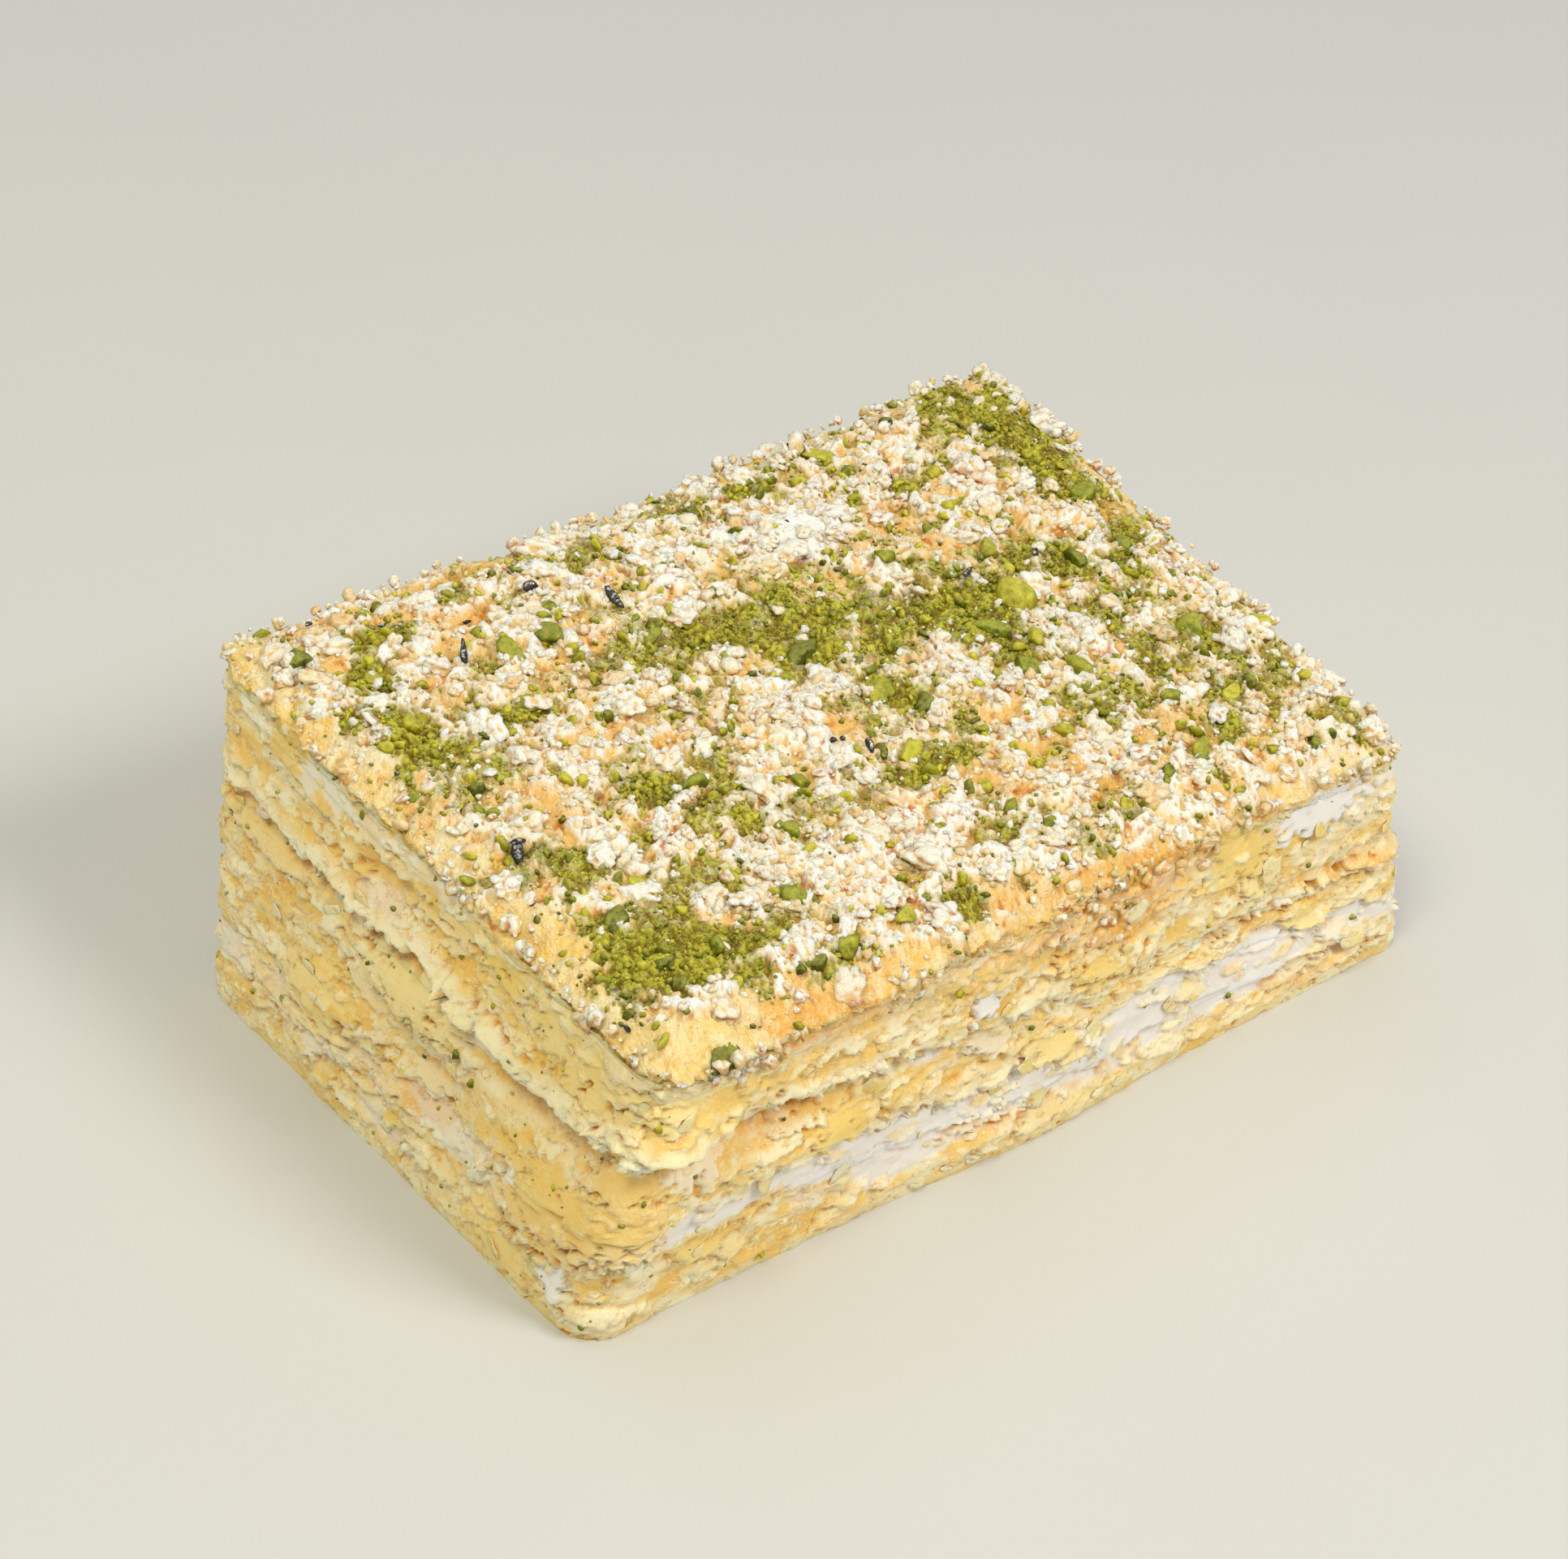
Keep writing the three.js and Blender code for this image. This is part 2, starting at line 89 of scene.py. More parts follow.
def seeded(i: Array, j: Array, seed: int) -> Array:
    """Repeatable values between 0 and 1 for whole-number places.

    Args:
        i, j: Column and row of each place.
        seed: Which random pattern.

    Returns:
        One value for each place.
    """
    column = np.atleast_1d(np.asarray(i, dtype=np.int64)) + 1013
    row = np.atleast_1d(np.asarray(j, dtype=np.int64)) + 7919
    mixed = (column * HASH_COLUMN & WORD) ^ (row * HASH_ROW & WORD) ^ (seed * HASH_SEED & WORD)
    mixed = (mixed ^ (mixed >> 13)) * HASH_FOLD & WORD
    mixed = (mixed ^ (mixed >> 15)) * HASH_SEED & WORD
    return (mixed ^ (mixed >> 16)) / (WORD + 1.0)


def ease(low: float, high: float, value: Array) -> Array:
    """Smooth step from 0 at low to 1 at high."""
    share = np.clip((np.asarray(value) - low) / (high - low), 0.0, 1.0)
    return share * share * (3.0 - 2.0 * share)


def lerp(first: Array, second: Array, share: Array) -> Array:
    """Straight blend from the first value to the second."""
    return first + (second - first) * share


def bell(distance: Array) -> Array:
    """Bell curve, 1 at distance 0 and near 0 past 2."""
    return np.exp(-distance * distance)


def noise(x: Array, y: Array, seed: int) -> Array:
    """Smooth repeatable noise between -1 and 1, with one cell per unit.

    Args:
        x, y: Coordinates of the points.
        seed: Which random pattern.

    Returns:
        One value for each point.
    """
    x, y = np.broadcast_arrays(x, y)
    i = np.floor(x)
    j = np.floor(y)
    a = ease(0.0, 1.0, x - i)
    b = ease(0.0, 1.0, y - j)
    low = lerp(seeded(i, j, seed), seeded(i + 1, j, seed), a)
    high = lerp(seeded(i, j + 1, seed), seeded(i + 1, j + 1, seed), a)
    return 2.0 * lerp(low, high, b) - 1.0


def fractal(x: Array, y: Array, seed: int, octaves: int = 3) -> Array:
    """Noise with finer and weaker copies of itself added, between about -1 and 1."""
    total = sum(noise(x * 2**k, y * 2**k, seed + k) / 2**k for k in range(octaves))
    return total / (2.0 - 0.5 ** (octaves - 1))


@dataclass(frozen=True)
class Cells:
    """Uneven cells round scattered points, for each place of a grid.

    It holds the distances to the nearest point and to the second, the offset from the nearest
    one, and that one's own value between 0 and 1.
    """

    near: Array
    second: Array
    off_x: Array
    off_y: Array
    own: Array


def cells(x: Array, y: Array, seed: int) -> Cells:
    """Pattern of uneven cells round scattered points, one point per unit square.

    Args:
        x, y: Coordinates of the points.
        seed: Which random pattern.

    Returns:
        The cells' measures at each place.
    """
    i = np.floor(x)
    j = np.floor(y)
    near = np.full(x.shape, 9.0)
    second = np.full(x.shape, 9.0)
    off_x, off_y, own = np.zeros(x.shape), np.zeros(x.shape), np.zeros(x.shape)
    for di in (-1, 0, 1):
        for dj in (-1, 0, 1):
            dx = x - (i + di + seeded(i + di, j + dj, seed))
            dy = y - (j + dj + seeded(i + di, j + dj, seed + 1))
            distance = np.hypot(dx, dy)
            closer = distance < near
            second = np.where(closer, near, np.minimum(second, distance))
            own = np.where(closer, seeded(i + di, j + dj, seed + 2), own)
            off_x, off_y = np.where(closer, dx, off_x), np.where(closer, dy, off_y)
            near = np.minimum(near, distance)
    return Cells(near, second, off_x, off_y, own)


def jagged(x: Array, y: Array, seed: int) -> Array:
    """Uneven flat cells, each at its own value between -0.5 and 0.5."""
    return cells(x, y, seed).own - 0.5


def lumpy(x: Array, y: Array, seed: int) -> Pair:
    """Uneven rounded lumps packed side by side, about one unit across.

    Args:
        x, y: Coordinates of the points.
        seed: Which random pattern.

    Returns:
        Height of the lumps, from 0 to about 1, and the cracks between them, from 0 to 1.
    """
    found = cells(x, y, seed)
    turn = found.own * 40.0
    tilt = found.off_x * np.cos(turn) + found.off_y * np.sin(turn)
    body = np.sqrt(np.clip(1 - (found.near / 0.95) ** 2, 0, 1))
    return (0.5 + 0.5 * found.own + 0.5 * tilt) * body, 1 - ease(0.0, 0.22, found.second - found.near)


def blurred(values: Array, steps: int, wrap: bool) -> Array:
    """Local mean of a grid of values, by running means along both axes.

    Args:
        values: Grid of values, rows first.
        steps: How many cells the mean reaches each way.
        wrap: Whether the columns join end to end.

    Returns:
        The smoothed grid.
    """
    for axis in (0, 1):
        pad = [(0, 0), (0, 0)]
        pad[axis] = (steps + 1, steps)
        padded = np.pad(values, pad, mode="wrap" if wrap and axis == 1 else "edge")
        total = np.cumsum(padded, axis=axis)
        width = 2 * steps + 1
        upper = np.take(total, np.arange(width, total.shape[axis]), axis=axis)
        lower = np.take(total, np.arange(0, total.shape[axis] - width), axis=axis)
        values = (upper - lower) / width
    return values


def blended(grid: Array, column: Array, row: Array) -> Array:
    """Values of a grid between its cells, with the last column joined to the first.

    Args:
        grid: Grid of values, rows first.
        column, row: Places on it, in cells.

    Returns:
        One value for each point.
    """
    left, j = np.floor(column).astype(int), np.floor(row).astype(int)
    i, after = left % grid.shape[1], (left + 1) % grid.shape[1]
    low = lerp(grid[j, i], grid[j, after], column - left)
    high = lerp(grid[j + 1, i], grid[j + 1, after], column - left)
    return lerp(low, high, row - j)


def each(kind: type, *rows: tuple) -> tuple:
    """One object of a kind for each row of its values."""
    return tuple(kind(*row) for row in rows)


class Boundary(Enum):
    """Boundaries between the layers, from the foot up."""

    FOOT = 0
    BASE_TOP = 1
    LOWER_CREAM_TOP = 2
    MIDDLE_TOP = 3
    UPPER_CREAM_TOP = 4
    TOP_PASTRY_TOP = 5
    COAT_TOP = 6
    CRUST = 7


@dataclass(frozen=True)
class Swell:
    """A local rise of some boundaries: its place, how far it reaches and how high it goes."""

    boundaries: tuple[Boundary, ...]
    x: float
    y: float
    reach: float
    rise: float


@dataclass(frozen=True)
class Spot:
    """A soft-edged spot on the side: its place, its reach along and up, and its strength."""

    x: float
    y: float
    z: float
    along: float
    up: float
    strength: float

    def at(self, x: Array, y: Array, z: Array) -> Array:
        """Strength of the spot at points of the side."""
        sideways = np.hypot(x - self.x, y - self.y) / self.along
        return self.strength * bell(sideways) * bell((z - self.z) / self.up)


def together(spots: tuple[Spot, ...], x: Array, y: Array, z: Array) -> Array:
    """Sum of soft-edged spots at points of the side."""
    return sum(spot.at(x, y, z) for spot in spots)


@dataclass(frozen=True)
class SliceForm:
    """Outer form of the slice: its plan, the lean of its sides and the levels of its layers.

    Corners are in the order front left, front right, back right, back left.
    """

    length: float = 110.0
    width: float = 68.0
    corner_radius: float = 4.0
    foot_corners: tuple = ((-57.2, -33.0), (56.8, -35.2), (55.3, 33.8), (-56.7, 32.0))
    crust_corners: tuple = ((-52.9, -37.4), (47.6, -35.0), (53.7, 37.4), (-52.4, 37.0))
    levels: tuple = (
        (0.0, 0.0, 0.0, 0.0),
        (9.6, 4.4, 6.0, 5.6),
        (13.8, 9.6, 10.6, 9.4),
        (23.9, 13.0, 18.4, 25.2),
        (25.5, 14.6, 20.2, 26.9),
        (31.6, 23.8, 31.8, 35.2),
        (33.2, 27.8, 34.4, 37.0),
        (36.7, 32.4, 38.2, 40.4),
    )
    swells: tuple = each(
        Swell,
        ((Boundary.BASE_TOP, Boundary.LOWER_CREAM_TOP), -38, -35, 12, 1.2),
        ((Boundary.BASE_TOP,), -3, -35, 10, -1.2),
        ((Boundary.LOWER_CREAM_TOP,), -5, -35, 9, -1.6),
        ((Boundary.LOWER_CREAM_TOP,), 15, -35, 13, 2.2),
        ((Boundary.MIDDLE_TOP, Boundary.UPPER_CREAM_TOP), -55, -18, 10, -2.4),
        ((Boundary.MIDDLE_TOP, Boundary.UPPER_CREAM_TOP), -55, 10, 7, -0.8),
        ((Boundary.CRUST,), -8, 30, 22, -0.9),
    )
    wave_length: float = 21.0
    wave_rise: float = 0.55
    edge_roll: float = 6.0
    edge_drop: float = 1.5
    features: tuple = each(
        Spot,
        (-41, -36, 22.6, 10, 2.6, -3), (-54, -20, 21.4, 8, 2.4, -2.6), (-51, -37, 26.4, 6, 2.8, 1.6),
        (-56, -5.5, 14, 5, 3.2, -2.2), (-54, 4, 30.4, 5, 1.6, -1.5), (-55, 0, 21.6, 6, 3, 1.1),
        (-56, 12, 12, 7, 4.4, 1.1), (-56, -25, 13, 9, 4.6, 1.2), (-30, -34, 17, 12, 3, 0.9),
        (42, -34, 17.2, 14, 1.3, -1.6), (34, -34, 12, 5, 1.2, -1.3), (6, -34, 10, 9, 3, 0.8),
        (0, -34, 1, 17, 6, 1.4),
    )

    @property
    def core(self) -> tuple[float, float]:
        """Half length and half width of the plan inside its rounded corners."""
        return self.length / 2 - self.corner_radius, self.width / 2 - self.corner_radius

    @property
    def spans(self) -> Array:
        """Lengths of the outline's stretches: each straight side with the corner that follows."""
        along, across, quarter = *self.core, math.pi * self.corner_radius / 2
        return np.array([2 * along, quarter, 2 * across, quarter] * 2)

    @property
    def starts(self) -> Array:
        """Distances along the outline at which its stretches start, and its end."""
        return np.concatenate([[0.0], np.cumsum(self.spans)])

    @property
    def girth(self) -> float:
        """Length of the whole outline."""
        return float(self.spans.sum())

    def from_corners(self, corners: tuple, x: Array, y: Array) -> Array:
        """Value over the plan, blended from its four corners.

        Args:
            corners: Values at the corners.
            x, y: Nominal plan points.

        Returns:
            One value for each point.
        """
        p = x / self.length + 0.5
        q = y / self.width + 0.5
        return (1 - q) * ((1 - p) * corners[0] + p * corners[1]) + q * (
            p * corners[2] + (1 - p) * corners[3]
        )

    def level(self, boundary: Boundary, x: Array, y: Array) -> Array:
        """Height of a boundary over nominal plan points.

        Args:
            boundary: Which boundary.
            x, y: Nominal plan points.

        Returns:
            One height for each point.
        """
        base = self.from_corners(self.levels[boundary.value], x, y)
        if boundary is Boundary.FOOT:
            return base
        wave = self.wave_rise * noise(x / self.wave_length, y / self.wave_length, boundary.value)
        swells = [s for s in self.swells if boundary in s.boundaries]
        return base + wave + sum(s.rise * bell(np.hypot(x - s.x, y - s.y) / s.reach) for s in swells)

    def room(self, x: Array, y: Array) -> Array:
        """Distance from plan points to the nominal plan's edge."""
        return np.minimum(self.length / 2 - np.abs(x), self.width / 2 - np.abs(y))

    def crust(self, x: Array, y: Array) -> Array:
        """Height of the crust's core, which rolls down towards its edge."""
        drop = self.edge_drop * (1 - ease(0, self.edge_roll, self.room(x, y)))
        return self.level(Boundary.CRUST, x, y) - drop

    def lean(self, x: Array, y: Array, z: Array) -> Pair:
        """Real plan place of nominal plan points at a height, on the leaning sides.

        Args:
            x, y: Nominal plan points.
            z: Their heights.

        Returns:
            Real X and Y.
        """
        share = z / self.from_corners(self.levels[Boundary.CRUST.value], x, y)
        foot, crust = (
            [self.from_corners(line, x, y) for line in zip(*corners)]
            for corners in (self.foot_corners, self.crust_corners)
        )
        return lerp(foot[0], crust[0], share), lerp(foot[1], crust[1], share)

    def outline(self, along: Array) -> tuple[Array, Array, Array, Array]:
        """Points of the nominal outline, which starts after the front left corner.

        Args:
            along: Distances along the outline.

        Returns:
            X and Y of each point, and X and Y of its outward direction.
        """
        half_x, half_y = self.core
        centres = np.array([(half_x, -half_y), (half_x, half_y), (-half_x, half_y), (-half_x, -half_y)])
        along = np.mod(along, self.girth)
        stretch = np.clip(np.searchsorted(self.starts, along, side="right") - 1, 0, 7)
        local = along - self.starts[stretch]
        side = stretch // 2
        corner = stretch % 2 == 1
        heading = side * (math.pi / 2)
        turned = heading - math.pi / 2 + np.where(corner, local / self.corner_radius, 0.0)
        centre = centres[np.where(corner, side, side - 1)]
        walked = np.where(corner, 0.0, local)
        out_x, out_y = np.cos(turned), np.sin(turned)
        x = centre[..., 0] + np.cos(heading) * walked + self.corner_radius * out_x
        y = centre[..., 1] + np.sin(heading) * walked + self.corner_radius * out_y
        return x, y, out_x, out_y

    def along_of(self, x: Array, y: Array) -> Array:
        """Distance along the outline of the outline point that lies nearest to a plan point.

        Args:
            x, y: Plan points.

        Returns:
            One distance for each point.
        """
        half_x, half_y = self.core
        x, y = np.broadcast_arrays(np.asarray(x, dtype=float), np.asarray(y, dtype=float))
        front, left = y + self.width / 2, x + self.length / 2
        room = np.stack([front, self.length / 2 - x, self.width / 2 - y, left])
        walked = np.stack([x + half_x, y + half_y, half_x - x, half_y - y])
        side = np.argmin(room, axis=0)
        straight = self.starts[2 * side] + np.take_along_axis(walked, side[None], axis=0)[0]
        over_x = x - np.clip(x, -half_x, half_x)
        over_y = y - np.clip(y, -half_y, half_y)
        angle = np.mod(np.arctan2(over_y, over_x) + math.pi / 2, 2 * math.pi)
        corner = np.clip((angle // (math.pi / 2)).astype(int), 0, 3)
        bent = self.starts[2 * corner + 1] + (angle - corner * math.pi / 2) * self.corner_radius
        return np.where((over_x != 0) & (over_y != 0), bent, straight)


class Build:
    """Gathers the vertices, faces and masks of one closed mesh."""

    def __init__(self) -> None:
        """Starts an empty mesh."""
        self.points: list[Array] = []
        self.faces: list[Array] = []
        self.masks: list[Fields] = []
        self.count = 0

    def add(self, points: Array, masks: Fields) -> Array:
        """Adds vertices and returns their indices.

        Args:
            points: Places, with X, Y and Z last.
            masks: A value for each vertex, or one for all, by the mask's name.

        Returns:
            The new vertices' indices.
        """
        self.points.append(points.reshape(-1, 3))
        self.masks.append({name: np.ravel(mask) for name, mask in masks.items()})
        first = self.count
        self.count += len(self.points[-1])
        return np.arange(first, self.count)

    def quads(self, grid: Array, closed: bool = False, flip: bool = False) -> None:
        """Faces between the rows of a grid of vertex indices, joined end to end if closed.

        Args:
            grid: Vertex indices, rows first.
            closed: Whether its columns join end to end.
            flip: Whether the faces look the other way.
        """
        right = np.roll(grid, -1, axis=1) if closed else grid[:, 1:]
        left = grid if closed else grid[:, :-1]
        corners = np.stack([left[:-1], right[:-1], right[1:], left[1:]], axis=-1).reshape(-1, 4)
        self.faces.append(corners[:, ::-1] if flip else corners)

    def add_faces(self, corners: Array) -> None:
        """Adds faces by the indices of their corners, one row each."""
        self.faces.append(corners)

    def cap(self, ring: Array, inner: Array, middle: int, down: bool) -> None:
        """Closes a ring of vertices by a coarser inner ring and a middle vertex.

        Args:
            ring: The outer vertices in order.
            inner: Fewer vertices inside them.
            middle: The vertex in the middle.
            down: Whether the faces look down.
        """
        n, m = len(ring), len(inner)
        partner = ((np.arange(n) + 0.5) * m / n).astype(int) % m
        after = np.roll(partner, -1)
        here = np.stack([ring, np.roll(ring, -1), inner[partner]], axis=1)
        jump = partner != after
        between = np.stack([inner[partner], np.roll(ring, -1), inner[after]], axis=1)[jump]
        fan = np.stack([inner, np.roll(inner, -1), np.full(m, middle)], axis=1)
        faces = np.concatenate([here, between, fan])
        self.faces.append(faces[:, ::-1] if down else faces)

    def finished(self, name: str, material: Material, sharp: Array | None = None) -> Piece:
        """Makes the mesh object, in metres.

        Args:
            name: The piece's name.
            material: Its finish.
            sharp: True for each vertex of a rim whose edges stay sharp, if there is one.

        Returns:
            The object, linked to the scene.
        """
        mesh = bpy.data.meshes.new(name)
        points = np.concatenate(self.points) * MM
        mesh.vertices.add(len(points))
        mesh.vertices.foreach_set("co", points.astype(np.float32).ravel())
        sizes = np.concatenate([np.full(len(f), f.shape[1]) for f in self.faces])
        corners = np.concatenate([f.ravel() for f in self.faces]).astype(np.int32)
        starts = np.concatenate([[0], np.cumsum(sizes)[:-1]]).astype(np.int32)
        mesh.loops.add(len(corners))
        mesh.loops.foreach_set("vertex_index", corners)
        mesh.polygons.add(len(sizes))
        mesh.polygons.foreach_set("loop_start", starts)
        mesh.polygons.foreach_set("use_smooth", np.ones(len(sizes), dtype=bool))
        mesh.update(calc_edges=True)
        if sharp is not None:
            ends = np.empty(2 * len(mesh.edges), dtype=np.int32)
            mesh.edges.foreach_get("vertices", ends)
            keep = sharp[ends.reshape(-1, 2)].all(axis=1)
            edge_mask = mesh.attributes.new("sharp_edge", "BOOLEAN", "EDGE")
            edge_mask.data.foreach_set("value", keep)
        for mask in self.masks[0]:
            parts = [np.broadcast_to(part[mask], len(p)) for part, p in zip(self.masks, self.points)]
            values = np.concatenate(parts)
            layer = mesh.attributes.new(mask, "FLOAT", "POINT")
            layer.data.foreach_set("value", values.astype(np.float32))
        mesh.materials.append(material)
        piece = bpy.data.objects.new(name, mesh)
        bpy.context.scene.collection.objects.link(piece)
        return piece


def dressed(piece: Piece, slot: str, *nodes: str) -> Piece:
    """Fixes a piece to the slice.

    Args:
        piece: The piece.
        slot: Name of a material slot; not used.
        *nodes: The solids that it stands for.

    Returns:
        The same piece.
    """
    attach(piece, "root")
    if nodes:
        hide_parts(*nodes)
    return piece


# Masks on the sides' meshes. The first is painted shade in creases, in hollows and under ledges; edge is a
# painted highlight on leaf rims; recess is painted shade in the large hollows.
SIDE_MASKS = ("gap", "toast", "cream", "custard", "tint", "edge", "plain", "recess")


class Tone(Enum):
    """Colour of a large leaf, as its shares of toast, custard and cream."""

    GOLDEN = (0.45, 0.5, 0.0)
    AMBER = (0.4, 0.4, 0.0)
    CUSTARD = (0.05, 0.9, 0.0)
    PALE = (0.0, 0.1, 0.35)
    CREAMY = (0.0, 0.0, 0.9)


@dataclass(frozen=True)
class Plate:
    """A large leaf that shows on a side: place, half sizes, turn in degrees, rise and colour."""

    x: float
    y: float
    z: float
    along: float
    up: float
    turn: float
    rise: float
    tone: Tone


@dataclass(frozen=True)
class LeafKind:
    """Ragged leaves of pastry pressed on the sides: how many, how large and how thick."""

    count: int
    smallest: float
    largest: float
    slimness: float
    thickness: float
    tilt: float
    tear: float
    calm: float


@dataclass(frozen=True)
class Ledge:
    """Torn pastry edge that overhangs along a boundary: how far out and how far up it reaches."""

    boundary: Boundary
    rise: float
    reach: float
    ragged: float


@dataclass(frozen=True)
class Leaf:
    """One leaf as it is pressed on the grid: place, half sizes, turn and how it lies."""

    along: float
    z: float
    half: float
    across: float
    turn: float
    lift: float
    tilt: tuple[float, float]
    tear: float
    calm: float
    tint: float
    tone: Tone | None = None


@dataclass
class SideSkin:
    """Relief and masks of the whole side, painted on a flat grid that is wrapped round it."""

    form: SliceForm
    cell: float = 0.2
    ceiling: float = 43.0
    seed: int = 500
    leaf_pitch: float = 1.05
    plate_share: float = 0.88
    cream_keeps: float = 0.82
    ledges: tuple = (
        Ledge(Boundary.UPPER_CREAM_TOP, 0.9, 2.2, 1.5),
        Ledge(Boundary.LOWER_CREAM_TOP, 0.4, 1.6, 1.6),
        Ledge(Boundary.BASE_TOP, 0.35, 1.4, 1.8),
    )
    plates: tuple = each(
        Plate,
        (-55, -33, 15.5, 6, 6, 5, 0.7, Tone.GOLDEN), (-46.5, -36, 20.5, 4, 2.4, -10, 0.5, Tone.PALE),
        (-29, -35, 17, 4, 2.6, -20, 0.6, Tone.CUSTARD), (-8, -35, 17.5, 4, 2.2, -25, 0.5, Tone.PALE),
        (0.5, -35, 13.4, 7, 2.6, -32, 0.7, Tone.CUSTARD), (7, -35, 11.3, 3.2, 1.2, -45, 0.8, Tone.PALE),
        (27.5, -36, 26.6, 5.5, 4, -10, 0.5, Tone.CUSTARD),
        (30, -36, 21.4, 3.2, 1.8, -12, 0.6, Tone.CUSTARD), (7, -36, 21, 4.2, 2.8, -20, 0.5, Tone.CUSTARD),
        (38.5, -35, 12.8, 3.2, 2.4, -12, 0.7, Tone.CUSTARD), (22, -35, 9.9, 2.4, 1.2, -8, 0.6, Tone.AMBER),
        (-43.5, -34, 8.2, 3.4, 2.2, -8, 0.6, Tone.CUSTARD),
        (-39, -34, 5.6, 2.6, 1.8, 10, 0.6, Tone.CUSTARD), (33, -35, 1.6, 6, 1.9, 3, 0.4, Tone.GOLDEN),
        (5, -34, 1.8, 8, 1.8, 2, 0.4, Tone.CUSTARD), (-25, -34, 1.6, 5, 1.8, 0, 0.4, Tone.GOLDEN),
        (42, -36, 27.6, 8, 3, 8, 0.3, Tone.CREAMY), (-10, -36.5, 24.6, 2.2, 3, -20, 0.4, Tone.CREAMY),
        (-55, -1, 22.3, 7, 3.8, -4, 0.9, Tone.CUSTARD), (-55, -25, 13, 9, 5.6, 4, 0.8, Tone.GOLDEN),
        (-55, -19.5, 13.6, 1.7, 1.6, 0, 0.5, Tone.PALE), (-56, 12.5, 12.4, 6.6, 5, -6, 0.7, Tone.CUSTARD),
        (-56, 12.6, 6.6, 4.6, 2, 18, 0.7, Tone.PALE), (-54, -32, 20, 4.2, 4, 0, 0.5, Tone.GOLDEN),
        (-55, 24, 23.4, 9, 1.9, -3, 0.5, Tone.AMBER), (-56, -20.5, 3.2, 7, 3.2, 2, 0.5, Tone.CUSTARD),
        (-56, -28, 5.6, 2.6, 2.2, 20, 0.8, Tone.CREAMY), (-53, -24, 31, 9, 4.6, -4, 0.3, Tone.CUSTARD),
        (-53, -12, 33.4, 5, 2.8, 0, 0.3, Tone.CUSTARD), (-52, -29, 33, 4, 3.4, 0, 0.4, Tone.AMBER),
        (-53, 16, 34.6, 5, 3.4, 10, 0.4, Tone.PALE), (-53, 21, 36, 2.6, 3, 0, 0.4, Tone.GOLDEN),
        (-56, 1, 9.4, 2.4, 2, 10, 0.4, Tone.AMBER),
    )
    leaf_kinds: tuple = (
        LeafKind(120, 3.0, 6.5, 0.36, 0.75, 0.06, 0.8, 0.75),
        LeafKind(620, 1.6, 3.8, 0.36, 0.6, 0.08, 1.0, 0.6),
        LeafKind(1700, 0.8, 1.8, 0.42, 0.44, 0.12, 0.9, 0.4),
        LeafKind(1500, 0.35, 0.8, 0.55, 0.26, 0.2, 0.6, 0.2),
    )
    large_kinds: int = 2
    streaky: tuple = each(
        Spot,
        (-26, -35, 22.5, 12, 2.6, 0.8), (40, -35, 16.5, 16, 2.2, 1), (42, -35, 3, 16, 2, 0.8),
        (-55, 24, 25.5, 14, 1.6, 0.8), (53, -10, 16, 20, 3, 0.8), (15, 36, 20, 30, 3, 0.7),
    )
    toasted: tuple = each(
        Spot,
        (-37, -37, 34, 7, 4, 1.1), (-27, -37, 31.5, 8, 3.4, 0.9), (-38, -36, 21, 7, 2.4, 0.6),
        (-4, -36, 30, 12, 4, 0.8), (14, -36, 31.5, 8, 4.6, 1.3), (24, -36, 33, 5, 3, 0.9),
        (10, -36, 25, 8, 3, 0.9), (-55, -33, 18, 6, 6, 0.45), (-55, -18, 20.4, 7, 2.2, 0.6),
        (-13, -35, 14.5, 5, 2, 0.6), (47, -35, 15.5, 9, 1.6, 0.9), (38, -35, 3, 7, 1.6, 0.8),
        (-26, -34, 1.5, 5, 2, 0.5), (-56, 21, 20, 2.5, 2.5, 0.9), (-56, -4, 10, 4, 2.5, 0.9),
        (-56, 22, 8, 7, 3, 0.4), (-53, 8, 34, 5, 2.5, 0.6), (52, 10, 20, 16, 5, 0.6),
        (20, 36, 24, 18, 5, 0.5), (-25, 36, 18, 14, 4, 0.5),
    )
    creamy: tuple = each(
        Spot,
        (-44, -34, 12, 10, 2, 1), (-22, -35, 10.5, 9, 3, 1.1), (-18, -35, 5, 12, 2, 0.7),
        (-4, -35, 9.5, 9, 3.2, 1.1), (12, -35, 9, 11, 4, 1.3), (24, -35, 9.2, 13, 3.4, 1.2),
        (42, -35, 6.6, 14, 2.8, 1.1), (-16, -35, 20, 5, 2, 0.8), (40, -35, 28, 8, 3.2, 1.1),
        (-9, -36, 27.5, 3, 2, 0.9), (10, -35, 7, 58, 6, 0.42), (-30, -35, 14, 12, 4, 0.4),
        (-54, 5, 28, 9, 1.5, 1.1), (-54, 20, 31, 8, 2, 0.7), (-52, -36.5, 26, 3, 1.6, 0.9),
        (-56, 2, 3, 12, 2.4, 0.8), (54, 0, 8, 30, 2.4, 0.9), (0, 36, 8.5, 50, 2.2, 0.8),
        (20, 36, 28, 9, 2, 0.7),
    )
    custard: tuple = each(
        Spot,
        (-53, -28, 31.5, 12, 4, 0.7), (-46, -37, 30, 6, 4, 0.7), (28, -36, 27, 6, 3, 0.7),
        (-56, -18, 3, 8, 3, 0.6), (53, 22, 24, 9, 5, 0.7), (-12, 36, 27, 10, 4, 0.7),
    )
    seams: tuple = each(
        Spot,
        (-40, -36, 25, 18, 6, 1), (-55, -8, 24.5, 32, 6, 1.9), (40, -35, 15, 20, 5, 0.6),
        (10, -35, 6, 40, 3, 0.4),
    )
    fields: Fields = field(default_factory=dict)

